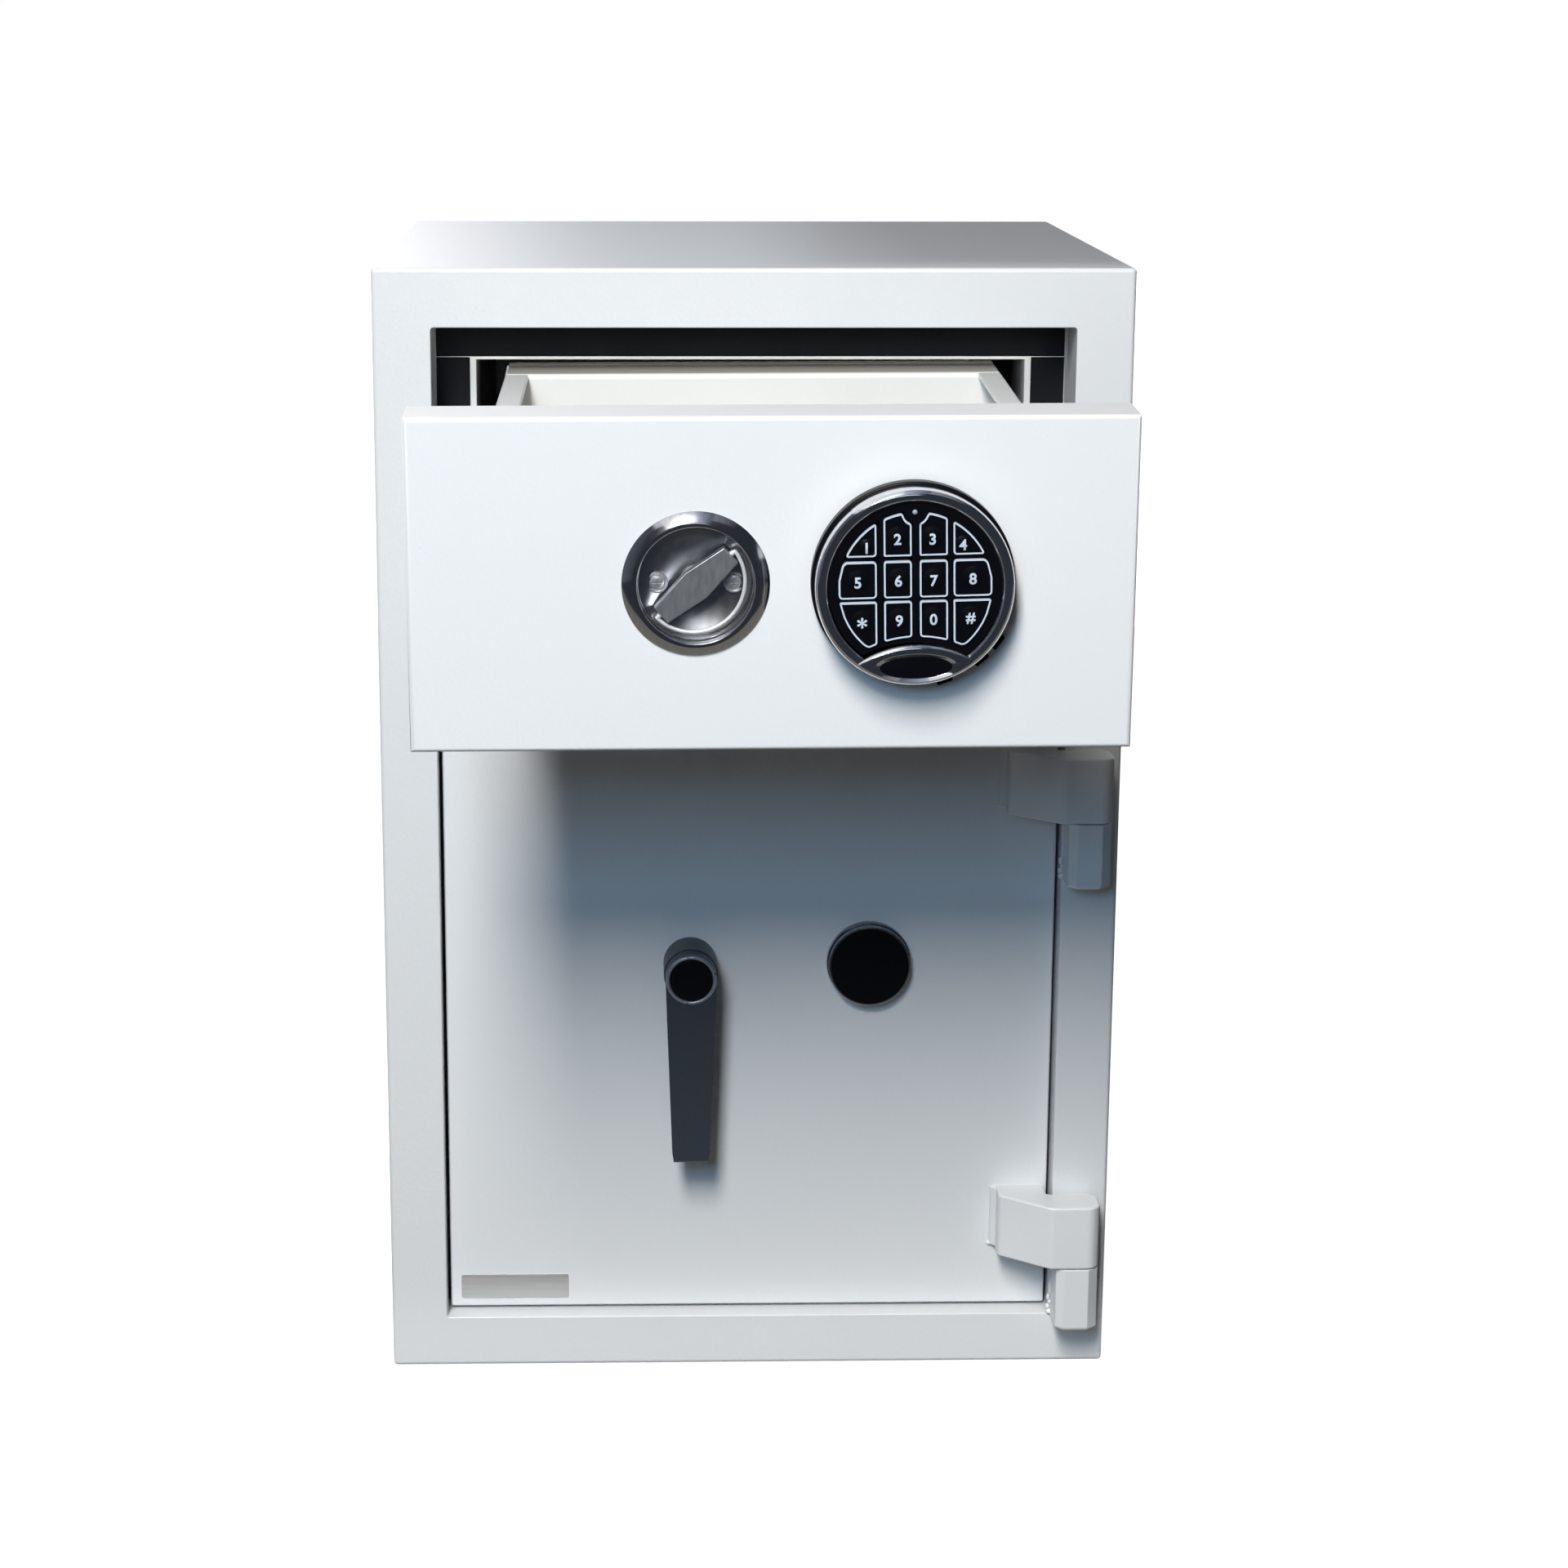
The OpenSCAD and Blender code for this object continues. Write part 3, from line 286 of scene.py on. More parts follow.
def crate(bm, low, high):
    """Adds a plain block from one corner to the opposite one."""
    low, high = Vector(low), Vector(high)
    place = Matrix.Translation((low + high) / 2) @ Matrix.Diagonal((*(high - low), 1))
    return bmesh.ops.create_cube(bm, size=1, matrix=place)["verts"]


def soften(bm, radius, segments=3, angle=28, pick=None):
    """Rounds the sharp edges, or those of them that pick() chooses."""
    edges = [e for e in bm.edges if len(e.link_faces) == 2
             and degrees(e.calc_face_angle()) > angle and (pick is None or pick(e))]
    bmesh.ops.bevel(bm, geom=edges, offset=radius, offset_type="OFFSET", affect="EDGES",
                    segments=segments, profile=0.5, material=-1, clamp_overlap=True)


def make(name, bm, place, paints, body, slot, *nodes, smooth=32):
    """Turns the millimetre shape into a piece in metres that rides on a body."""
    bmesh.ops.remove_doubles(bm, verts=bm.verts, dist=0.002)
    bmesh.ops.recalc_face_normals(bm, faces=bm.faces)
    bm.transform(place)
    mesh = bpy.data.meshes.new(name)
    bm.to_mesh(mesh)
    bm.free()
    mesh.shade_smooth()
    mesh.set_sharp_from_angle(angle=radians(smooth))
    for paint in (paints if isinstance(paints, (list, tuple)) else [paints]):
        mesh.materials.append(paint)
    made = bpy.data.objects.new(name, mesh)
    bpy.context.scene.collection.objects.link(made)
    even = made.modifiers.new("even_shading", "WEIGHTED_NORMAL")
    even.keep_sharp = True
    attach(made, body)
    if nodes:
        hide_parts(*nodes)
    return made


def carve(bm, tool):
    """Cuts the closed shape tool out of bm, and returns the rest as a new bmesh."""
    pair = []
    for shape in (bm, tool):
        bmesh.ops.recalc_face_normals(shape, faces=shape.faces)
        mesh = bpy.data.meshes.new("blank")
        shape.to_mesh(mesh)
        shape.free()
        pair.append(bpy.data.objects.new("blank", mesh))
        bpy.context.scene.collection.objects.link(pair[-1])
    cut = pair[0].modifiers.new("cut", "BOOLEAN")
    cut.operation, cut.solver, cut.object = "DIFFERENCE", "EXACT", pair[1]
    bpy.context.view_layer.update()
    solid = pair[0].evaluated_get(bpy.context.evaluated_depsgraph_get())
    rest = bmesh.new()
    rest.from_mesh(solid.to_mesh())
    solid.to_mesh_clear()
    for blank in pair:
        bpy.data.objects.remove(blank)
    return rest


def rod(bm, start, end, radius, segments=64):
    """Adds a closed round rod between two points."""
    start, end = Vector(start), Vector(end)
    turn = (end - start).to_track_quat("Z", "Y").to_matrix().to_4x4()
    place = Matrix.Translation((start + end) / 2) @ turn
    return bmesh.ops.create_cone(bm, cap_ends=True, segments=segments, radius1=radius,
                                 radius2=radius, depth=(end - start).length, matrix=place)["verts"]


shell = bmesh.new()
crate(shell, (-BODY_W / 2, 0, 0), (BODY_W / 2, BODY_D, BODY_H))
crate(shell, (-BODY_W / 2 + SKIN, FRAME_DEEP, SKIN),
      (BODY_W / 2 - SKIN, BODY_D - SKIN, BODY_H - SKIN))
for axis, at in ((0, -OPEN_X), (0, OPEN_X), *((2, z) for z in DOOR_OPENING + DRAWER_OPENING)):
    way = Vector((axis == 0, 0, axis == 2))
    bmesh.ops.bisect_plane(shell, geom=shell.verts[:] + shell.edges[:] + shell.faces[:],
                           plane_co=way * at, plane_no=way)


def in_mouth(face, y):
    """True where the face fills one of the two openings at this depth."""
    spot = face.calc_center_median()
    low, high = (DOOR_OPENING, DRAWER_OPENING)[spot.z > DOOR_OPENING[1]]
    return abs(spot.y - y) < FLAT and abs(spot.x) < OPEN_X and low < spot.z < high


deep = bmesh.ops.extrude_face_region(shell, geom=[f for f in shell.faces if in_mouth(f, 0)])
bmesh.ops.translate(shell, vec=(0, FRAME_DEEP, 0),
                    verts=[g for g in deep["geom"] if isinstance(g, bmesh.types.BMVert)])
bmesh.ops.delete(shell, context="FACES", geom=[f for f in shell.faces
                                               if in_mouth(f, 0) or in_mouth(f, FRAME_DEEP)])
bmesh.ops.remove_doubles(shell, verts=shell.verts, dist=0.01)
bmesh.ops.recalc_face_normals(shell, faces=shell.faces)


def on_skin(edge, count):
    """True where the edge lies on this many faces of the outer block."""
    ends = [v.co for v in edge.verts]
    planes = [all(abs(abs(p.x) - BODY_W / 2) < FLAT for p in ends),
              all(p.y < FLAT for p in ends) or all(p.y > BODY_D - FLAT for p in ends),
              all(p.z < FLAT for p in ends) or all(p.z > BODY_H - FLAT for p in ends)]
    return sum(planes) >= count


soften(shell, 2, 4, pick=lambda e: all(abs(abs(v.co.x) - OPEN_X) < FLAT for v in e.verts)
       and abs(e.verts[0].co.y - e.verts[1].co.y) > 20)
soften(shell, 1.6, 4, pick=lambda e: all(v.co.y < FLAT for v in e.verts) and not on_skin(e, 2))
soften(shell, 3, 4, pick=lambda e: on_skin(e, 2))
anchors = bmesh.new()
for x in ANCHOR_X:
    for y in ANCHOR_Y:
        rod(anchors, (x, y, -10), (x, y, 20), ANCHOR_R, 32)
shell = carve(shell, anchors)
make("body_shell", shell, FRONT, coat, "safe_body", "coat",
     "outer_sides", "outer_top_and_base", "outer_back", "frame_jambs", "frame_rails")


# Liner, deck and fill: 3 mm sheet, coated like the outside, with a poured barrier mix between
# the skins. Only the liner shows, through the openings.
def dress(paint, *nodes):
    """Gives CAD solids a finish on every slot that they have."""
    for node in nodes:
        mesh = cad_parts[node].data
        mesh.materials.clear()
        mesh.materials.append(paint)


dress(coat, "liner_sides", "liner_floor_and_ceiling", "liner_back", "drop_deck", "drawer_reveals")
barrier, shader, wire = finish("barrier", {"IOR": 1.45})
stones = wire.noise(160, 5.0, 0.7)
stones.tint((0.30, 0.29, 0.27, 1), (0.52, 0.51, 0.48, 1)).feeds(shader, "Base Color")
(stones * 0.2 + 0.75).feeds(shader, "Roughness")
stones.bump(0.0015, 0.8).feeds(shader, "Normal")
dress(barrier, "wall_fill")


# Compartment walls: the flange at the front is off-white; behind it the same sheet carries
# painted shade, darkening to near black going back into the compartment, its edge blotched.
wall_shade_paint, shader, wire = finish("wall_painted_shade", {"IOR": 1.5})
inward = wire.height("Y").between(-0.166, -0.095)
blotch = wire.noise(40, 3.0)
# Painted shade mask: 0 at the front flange, 1 deep in the compartment, broken up by noise.
shade = inward.node("ShaderNodeMath", {"operation": "MULTIPLY_ADD"},
                    {0: blotch - 0.5, 1: 0.25, 2: inward}).between(0.0, 1.0)
shade.tint((0.80, 0.805, 0.80, 1), (0.012, 0.012, 0.013, 1)).feeds(shader, "Base Color")
(blotch * 0.15 + 0.42).feeds(shader, "Roughness")
wire.noise(330, 2.0).bump(0.0002, 0.5).feeds(shader, "Normal")
dress(wall_shade_paint, "sleeve_sides", "sleeve_top")

# Seal strips: self-adhesive foam rubber on the set-back flange, one over the opening and one
# down each side, butted together in the corners.
rubber, shader, wire = finish("seal_rubber", {"Specular IOR Level": 0.18})
skin = wire.noise(900, 2.0)
skin.tint((0.004, 0.005, 0.007, 1), (0.007, 0.0083, 0.011, 1)).feeds(shader, "Base Color")
(wire.noise(25, 2.0) * 0.2 + 0.52).feeds(shader, "Roughness")
skin.bump(0.0001, 0.5).feeds(shader, "Normal")
SEAL_X, SEAL_Y, TOP_STRIP, SIDE_STRIP = (185, 207), (55.8, 57), (688.0, 711.5), (516, 687.5)
strips = bmesh.new()
crate(strips, (-SEAL_X[1], SEAL_Y[0], TOP_STRIP[0]), (SEAL_X[1], SEAL_Y[1], TOP_STRIP[1]))
for side in (-1, 1):
    low, high = sorted(side * x for x in SEAL_X)
    crate(strips, (low, SEAL_Y[0], SIDE_STRIP[0]), (high, SEAL_Y[1], SIDE_STRIP[1]))
soften(strips, 0.4, 2)
make("seal_strips_soft", strips, FRONT, rubber, "safe_body", "seal", "seal_strips")

# Drawer slides: zinc plated roller channels on the compartment walls, middle members that run
# half way, inner rails on the tray, and a turned roller at the rear of each side.
zinc, shader, wire = finish("zinc_plate", {"Metallic": 1.0})
spangle = wire.noise(120, 4.0, 0.6)
spangle.tint((0.50, 0.50, 0.49, 1), (0.72, 0.71, 0.68, 1)).feeds(shader, "Base Color")
(spangle * 0.25 + 0.28).feeds(shader, "Roughness")
wire.noise(500, 2.0, stretch=(1, 0.06, 1)).bump(0.00008, 0.4).feeds(shader, "Normal")
dress(zinc, "slide_outers", "slide_middles", "slide_inners", "door_lock_case", "drawer_lock")
steel, shader, wire = finish("drawn_steel", {"Metallic": 1.0})
drawn = wire.noise(420, 3.0, stretch=(0.08, 1, 1))
drawn.tint((0.40, 0.40, 0.41, 1), (0.62, 0.62, 0.63, 1)).feeds(shader, "Base Color")
(drawn * 0.22 + 0.24).feeds(shader, "Roughness")
drawn.bump(0.00006, 0.5).feeds(shader, "Normal")
dress(steel, "slide_rollers", "hinge_pins", "door_dead_bar", "door_bolts", "drawer_bolts")

# Door: an 8 mm plate set 14.5 mm back in its opening, its edges eased, coated like the body.
# Its bolt work sits in a folded cover behind it.
DOOR_X, DOOR_Z, DOOR_T, RECESS = 205.3, (37.6, 481.8), 8, 14.5
LEVER_X, KEY_X, LOCK_Z = -40.5, 80.3, 284.5
SPINDLE_HOLE, KEYWAY = 8.05, 10.05
panel = bmesh.new()
crate(panel, (-DOOR_X, RECESS, DOOR_Z[0]), (DOOR_X, RECESS + DOOR_T, DOOR_Z[1]))
soften(panel, 1.8, 4, pick=lambda e: not all(v.co.y > RECESS + DOOR_T / 2 for v in e.verts))
holes = bmesh.new()
rod(holes, (LEVER_X, 0, LOCK_Z), (LEVER_X, 40, LOCK_Z), SPINDLE_HOLE)
rod(holes, (KEY_X, 0, LOCK_Z), (KEY_X, 40, LOCK_Z), KEYWAY)
panel = carve(panel, holes)
make("door_skin", panel, FRONT, coat, "door", "coat", "door_panel")
dress(coat, "door_cover")

# Plain strip at the lower left of the door: thin brushed metal with eased corners, stuck on
# over the coat.
tag = bmesh.new()
crate(tag, (-198, 13.7, 44), (-124, 14.6, 61))
soften(tag, 1.5, 4, pick=lambda e: abs(e.verts[0].co.y - e.verts[1].co.y) > 0.5)
soften(tag, 0.25, 2, pick=lambda e: all(v.co.y < 14 for v in e.verts))
satin, shader, wire = finish("satin_strip", {"Metallic": 1.0})
brushed = wire.noise(900, 3.0, stretch=(0.02, 1, 1))
brushed.tint((0.50, 0.51, 0.52, 1), (0.66, 0.67, 0.68, 1)).feeds(shader, "Base Color")
(brushed * 0.2 + 0.25).feeds(shader, "Roughness")
brushed.bump(0.00003, 0.5).feeds(shader, "Normal")
make("blank_strip", tag, FRONT, satin, "door", "satin_steel")

# Hinges: bent leaves of heavy flat steel welded to the door, over knuckles welded to the
# frame. Both are linished by hand, so their edges are soft, and coated with the body.
LEAF_Z, LEAF_H, KNUCKLE_FOOT, KNUCKLE_HEAD = (80.0, 391.2), 44, -44.9, -0.6


def bar_stock(bm, outline, low, high):
    """Adds a straight bar with this outline in plan, from one height to another."""
    face = bm.faces.new([bm.verts.new((x, y, low)) for x, y in outline])
    tall = bmesh.ops.extrude_face_region(bm, geom=[face], use_keep_orig=True)["geom"]
    bmesh.ops.translate(bm, verts=[g for g in tall if isinstance(g, bmesh.types.BMVert)],
                        vec=(0, 0, high - low))
    bmesh.ops.recalc_face_normals(bm, faces=bm.faces)


forged = powder_coat("coat_over_forging", (0.79, 0.80, 0.805, 1), (0.76, 0.77, 0.778, 1), 260,
                     0.00028, 0.28, 0.42)
for spot, low in zip(("lower", "upper"), LEAF_Z):
    leaf = bmesh.new()
    bar_stock(leaf, [(170, RECESS), (170, -5.6), (203, -32.5), (231, -32.5), (236.8, -27),
                     (236.8, -8), (231, -1.5), (214, -1.5), (208, -5), (203, -3), (203, RECESS)],
              low, low + LEAF_H)
    soften(leaf, 3, 5, pick=lambda e: abs(e.verts[0].co.z - e.verts[1].co.z) > 20
           and all(v.co.y < -5 for v in e.verts))
    soften(leaf, 1.5, 3, 20, pick=lambda e: not all(v.co.y > 14 for v in e.verts))
    make("hinge_leaf_" + spot, leaf, FRONT, forged, "door", "coat",
         *(["hinge_leaves"] if spot == "lower" else []))
    knuckle = bmesh.new()
    bar_stock(knuckle, [(208, 0), (208, -27.5), (213, -32.5), (229.5, -32.5), (236.3, -26),
                        (236.3, 0)], low + KNUCKLE_FOOT, low + KNUCKLE_HEAD)
    soften(knuckle, 3.2, 4, pick=lambda e: all(v.co.z < low - 44 for v in e.verts)
           and all(v.co.y < -20 for v in e.verts))
    soften(knuckle, 1.2, 3, 20, pick=lambda e: not all(v.co.y > -1 for v in e.verts))
    make("hinge_knuckle_" + spot, knuckle, FRONT, forged, "safe_body", "coat",
         *(["hinge_knuckles"] if spot == "lower" else []))


# Welds: a flat fillet along the free end of each leaf, with the stub of its run at the foot,
# and an uneven bead where each knuckle meets the frame, all coated over.
def blob(bm, middle, size):
    """Adds a small round bead of weld, stretched to its size along each axis."""
    bmesh.ops.create_uvsphere(bm, u_segments=14, v_segments=10, radius=1.0,
                              matrix=Matrix.Translation(middle) @ Matrix.Diagonal((*size, 1)))


for spot, low in zip(("lower", "upper"), LEAF_Z):
    fillet = bmesh.new()
    bar_stock(fillet, [(170.5, RECESS + 0.2), (170.5, RECESS - 7), (168.8, RECESS - 4.6),
                       (166.6, RECESS - 2.2), (165.9, RECESS + 0.2)], low + 1.2, low + 43.4)
    soften(fillet, 1.0, 3, 20, pick=lambda e: not all(v.co.y > RECESS for v in e.verts))
    blob(fillet, (166.4, RECESS, low + 1.9), (1.8, 2.2, 1.6))
    make("leaf_weld_" + spot, fillet, FRONT, forged, "door", "coat", smooth=60)
    bead = bmesh.new()
    for x, z, wide, tall in ((207.4, 43.2, 2.4, 1.9), (206.2, 39.5, 1.5, 2.2), (207.9, 36.2, 1.7, 1.6),
                             (206.6, 32.6, 1.4, 2.6), (207.7, 26, 1.0, 5.0), (207.8, 15, 0.9, 7.5)):
        blob(bead, (x, -0.2, low - z), (wide, wide, tall))
    make("knuckle_weld_" + spot, bead, FRONT, forged, "safe_body", "coat", smooth=60)

# Lever: cast zinc in dark grey satin paint. A round hub stands off the door and carries a
# flat blade that narrows downwards, with a black cap in a raised ring over its screw.
BLADE_Y, BLADE_T = -15, 12
dusk, shader, wire = finish("lever_paint", {"IOR": 1.5, "Metallic": 0.35})
fleck = wire.noise(1400, 2.0)
fleck.tint((0.034, 0.043, 0.058, 1), (0.052, 0.063, 0.082, 1)).feeds(shader, "Base Color")
(wire.noise(30, 2.0) * 0.12 + 0.36).feeds(shader, "Roughness")
fleck.bump(0.00005, 0.5).feeds(shader, "Normal")


def bend(radius, height, turn, start, end, steps=5):
    """Profile points along a round edge, in degrees from the outward direction."""
    return [(radius + turn * cos(radians(a)), height + turn * sin(radians(a)))
            for a in [start + (end - start) * i / steps for i in range(steps + 1)]]


def out_of(x, y, z, place=FRONT):
    """Local frame of a fitting: +Z out of the face, +Y up, millimetres."""
    return place @ Matrix.Translation((x, y, z)) @ Matrix.Rotation(radians(90), 4, "X")


def turned(profile):
    """Turns a closed profile of (radius, height) points round the Z axis."""
    bm = bmesh.new()
    points = [bm.verts.new((r, 0, z)) for r, z in profile]
    edges = [bm.edges.new(pair) for pair in zip(points, points[1:] + points[:1])]
    bmesh.ops.spin(bm, geom=points + edges, cent=(0, 0, 0), axis=(0, 0, 1), angle=2 * pi,
                   steps=96, use_merge=True, use_duplicate=False)
    bmesh.ops.remove_doubles(bm, verts=bm.verts, dist=0.001)
    bmesh.ops.recalc_face_normals(bm, faces=bm.faces)
    return bm


hub = turned([(0, -24), (24, -24), (24, -18), (8, -18), (8, 0.3), (18, 0.3),
              *bend(17.2, 28.9, 0.8, 0, 60, 2), (0, 29.5)])
make("lever_hub_turned", hub, out_of(LEVER_X, RECESS, LOCK_Z), dusk, "lever", "lever_grey",
     "lever_hub")

blade = bmesh.new()
half, tip, drop = 17.2, 12.4, 128.3
rim = [(half * cos(a), half * sin(a)) for a in [radians(5 + 170 * i / 40) for i in range(41)]]
side = [(-tip - (half - tip) * (1 - t), -drop * t + 1.4) for t in (0.25, 0.5, 0.75, 0.955)]
outline = rim + side + [(-tip + 0.9, -drop), (tip - 0.9, -drop)] + [(-x, y) for x, y in side[::-1]]
face = blade.faces.new([blade.verts.new((x, y, 0)) for x, y in outline])
up = bmesh.ops.extrude_face_region(blade, geom=[face], use_keep_orig=True)["geom"]
bmesh.ops.translate(blade, verts=[g for g in up if isinstance(g, bmesh.types.BMVert)],
                    vec=(0, 0, BLADE_T))
bmesh.ops.recalc_face_normals(blade, faces=blade.faces)
soften(blade, 2.2, 3, pick=lambda e: all(v.co.y < -drop + 0.1 and v.co.z > BLADE_T - 1
                                         for v in e.verts))
soften(blade, 0.8, 3, pick=lambda e: all(v.co.z > 9 for v in e.verts)
       and not all(v.co.y < -drop + 3 for v in e.verts))
soften(blade, 0.5, 2, pick=lambda e: all(v.co.z < 1 for v in e.verts))
make("lever_blade", blade, out_of(LEVER_X, BLADE_Y, LOCK_Z), dusk, "lever", "lever_grey",
     "lever_plate")

bright_dusk, shader, wire = finish("lever_ring_paint", {"IOR": 1.5, "Metallic": 0.6})
wear = wire.noise(220, 3.0)
wear.tint((0.20, 0.235, 0.30, 1), (0.32, 0.365, 0.44, 1)).feeds(shader, "Base Color")
(wear * 0.15 + 0.22).feeds(shader, "Roughness")
wear.bump(0.00004, 0.4).feeds(shader, "Normal")
ring = turned([(14.0, 11.0), (17.0, 11.0), (17.0, BLADE_T), *bend(15.6, 12.2, 1.2, 10, 170, 6),
               (14.4, BLADE_T)])
make("lever_ring", ring, out_of(LEVER_X, BLADE_Y, LOCK_Z), bright_dusk, "lever", "lever_grey")

matt, shader, wire = finish("black_moulding", {"Specular IOR Level": 0.14})
spark = wire.noise(1600, 2.0)
spark.tint((0.0018, 0.0020, 0.0032, 1), (0.0036, 0.0040, 0.0062, 1)).feeds(shader, "Base Color")
(wire.noise(35, 2.0) * 0.14 + 0.24).feeds(shader, "Roughness")
spark.bump(0.00005, 0.6).feeds(shader, "Normal")
cap = turned([(0, 12.0), (14.2, 12.0), (14.2, 12.6), *bend(13.6, 12.7, 0.6, 0, 80, 3), (9, 13.42),
              (0, 13.5)])
make("lever_cap_domed", cap, out_of(LEVER_X, BLADE_Y, LOCK_Z), matt, "lever", "black_plastic",
     "lever_cap")

# Key cover: a black disc in a plated ring that swings aside on a pin over the keyway, on a
# plated base ring that is fixed to the door.
COVER_PIN, COVER_PIN_R, LID_R = 21, 2.0, 27.6
chrome, shader, wire = finish("chrome_plate", {"Metallic": 1.0})
haze = wire.noise(60, 3.0)
haze.tint((0.70, 0.71, 0.73, 1), (0.80, 0.81, 0.83, 1)).feeds(shader, "Base Color")
(haze * 0.07 + 0.04).feeds(shader, "Roughness")
wire.noise(700, 2.0).bump(0.00001, 0.3).feeds(shader, "Normal")
smoked, shader, wire = finish("smoked_plate", {"Metallic": 1.0})
haze = wire.noise(80, 3.0)
haze.tint((0.20, 0.22, 0.26, 1), (0.30, 0.32, 0.36, 1)).feeds(shader, "Base Color")
(haze * 0.12 + 0.14).feeds(shader, "Roughness")
wire.noise(700, 2.0).bump(0.00002, 0.3).feeds(shader, "Normal")
collar = turned([(KEYWAY, 0), (28.6, 0), (28.6, 3.4), *bend(27.6, 3.5, 1.0, 10, 90, 3), (KEYWAY, 4.5)])
pin_hole = bmesh.new()
rod(pin_hole, (0, COVER_PIN, -2), (0, COVER_PIN, 8), COVER_PIN_R + 0.05, 32)
collar = carve(collar, pin_hole)
make("key_collar", collar, out_of(KEY_X, RECESS, LOCK_Z), smoked, "door", "polished", "key_base")
lid = turned([(0, 4.8), (LID_R, 4.8), (LID_R, 10.8), *bend(26.9, 11.2, 0.7, 0, 100, 4), (26.2, 11.9),
              (26.1, 11.1), (0, 11.1)])
rod(lid, (0, COVER_PIN, 0.5), (0, COVER_PIN, 6), COVER_PIN_R, 32)
make("key_lid", lid, out_of(KEY_X, RECESS, LOCK_Z), smoked, "key_cover", "polished", "key_cover")
inlay = turned([(0, 10.8), (26.05, 10.8), (26.05, 11.25), (25.6, 11.5), (0, 11.6)])
make("key_lid_inlay", inlay, out_of(KEY_X, RECESS, LOCK_Z), matt, "key_cover", "black_plastic")
dress(chrome, "key_plug")

# Drawer front: a 41 mm thick box of plate with rounded edges and a pocket for the pull. It
# stands 315 mm out, hangs 2.6 degrees nose-down on its slides, and its left is a hair low.
PIVOT = Matrix.Translation((0, 0.134, 0.600))
SAG = Matrix.Rotation(radians(2.6), 4, "X") @ Matrix.Rotation(radians(-0.25), 4, "Y")
OUT = Matrix.Translation((0, -0.315, 0)) @ PIVOT @ SAG @ PIVOT.inverted() @ FRONT
PULL, PAD = (-44.4, 614.2), (77.1, 616.0)
SLAB_X, SLAB_Z, SLAB_T = (-206.6, 203.7), (517.4, 708.8), 41
POCKET_R, BAR_HOLE = 34.8, 7.2
slab = bmesh.new()
crate(slab, (SLAB_X[0], RECESS, SLAB_Z[0]), (SLAB_X[1], RECESS + SLAB_T, SLAB_Z[1]))
soften(slab, 2.9, 5, pick=lambda e: all(v.co.y < RECESS + 1 for v in e.verts))
soften(slab, 1.2, 3, pick=lambda e: abs(e.verts[0].co.y - e.verts[1].co.y) > 30)
soften(slab, 0.8, 2, pick=lambda e: all(v.co.y > RECESS + SLAB_T - 1 for v in e.verts))
pocket = bmesh.new()
rod(pocket, (PULL[0], RECESS - 5, PULL[1]), (PULL[0], RECESS + 11.2, PULL[1]), POCKET_R, 96)
rod(pocket, (PULL[0], RECESS + 5, PULL[1]), (PULL[0], RECESS + 60, PULL[1]), BAR_HOLE, 48)
slab = carve(slab, pocket)
make("drawer_front_box", slab, OUT, painted_light_coat, "drawer", "coat", "drawer_front")

# Tray: 1.5 mm sheet, folded. The sides end in flat rims turned inwards, the rear wall is
# folded over at its top, and a cover behind it keeps hands out of the compartment.
TRAY_X, TRAY_Y, TRAY_TOP, TRAY_FOOT, SHEET = 160, (55.5, 372.5), 684.2, 522, 1.5
RIM_W, RIM_BEND, LIP_BEND, SPLAY = 14.0, 2.2, 1.3, 5
BACK_WALL, WALL_BEND = 323.5, 1.8


def folded(bm, line, thick, low, high, along=1):
    """Sheet that follows a line of (across, up) points, pulled along Y or X from low to high."""
    ends = [Vector((x, low, z)) if along else Vector((low, x, z)) for x, z in line]
    verts = [bm.verts.new(p) for p in ends]
    edges = [bm.edges.new(pair) for pair in zip(verts, verts[1:])]
    drawn_out = bmesh.ops.extrude_edge_only(bm, edges=edges)["geom"]
    step = (0, high - low, 0) if along else (high - low, 0, 0)
    bmesh.ops.translate(bm, vec=step,
                        verts=[g for g in drawn_out if isinstance(g, bmesh.types.BMVert)])
    bmesh.ops.solidify(bm, geom=bm.faces[:], thickness=thick)


cream = powder_coat("coat_inside", (0.80, 0.795, 0.765, 1), (0.77, 0.765, 0.735, 1), 330, 0.0002,
                    0.34, 0.48)
for hand, side in (("left", -1), ("right", 1)):
    wall = bmesh.new()
    line = [(TRAY_X, TRAY_FOOT), (TRAY_X, TRAY_TOP - RIM_BEND)]
    line += [(TRAY_X - RIM_BEND + RIM_BEND * cos(radians(a)),
              TRAY_TOP - RIM_BEND + RIM_BEND * sin(radians(a))) for a in (22, 45, 68, 90)]
    line += [(TRAY_X - RIM_W, TRAY_TOP)]
    line += [(TRAY_X - RIM_W - LIP_BEND * sin(radians(a)),
              TRAY_TOP - LIP_BEND + LIP_BEND * cos(radians(a))) for a in (30, 60, 90)]
    line += [(TRAY_X - RIM_W - LIP_BEND, TRAY_TOP - 2)]
    folded(wall, [(side * x, z) for x, z in line], SHEET * side, TRAY_Y[0], BACK_WALL)
    low, high = sorted((side * TRAY_X, side * (TRAY_X - SHEET)))
    crate(wall, (low, BACK_WALL, TRAY_FOOT), (high, TRAY_Y[1], TRAY_TOP - 1.8))
    for v in wall.verts:
        if side < 0 and v.co.z > TRAY_TOP - 2.5 and v.co.y < TRAY_Y[0] + 1:
            v.co.x -= SPLAY
    for face in wall.faces:
        spot = face.calc_center_median()
        face.material_index = 1 if spot.z < TRAY_TOP - 3 and abs(spot.x) < TRAY_X - 1 else 0
    make("tray_side_" + hand, wall, OUT, [coat, cream], "drawer", "coat",
         *(["tray_sides", "tray_rims"] if side < 0 else []), smooth=40)
dress(coat, "tray_floor", "tray_trap", "drawer_cover")
back = bmesh.new()
fold_top = TRAY_TOP - 1
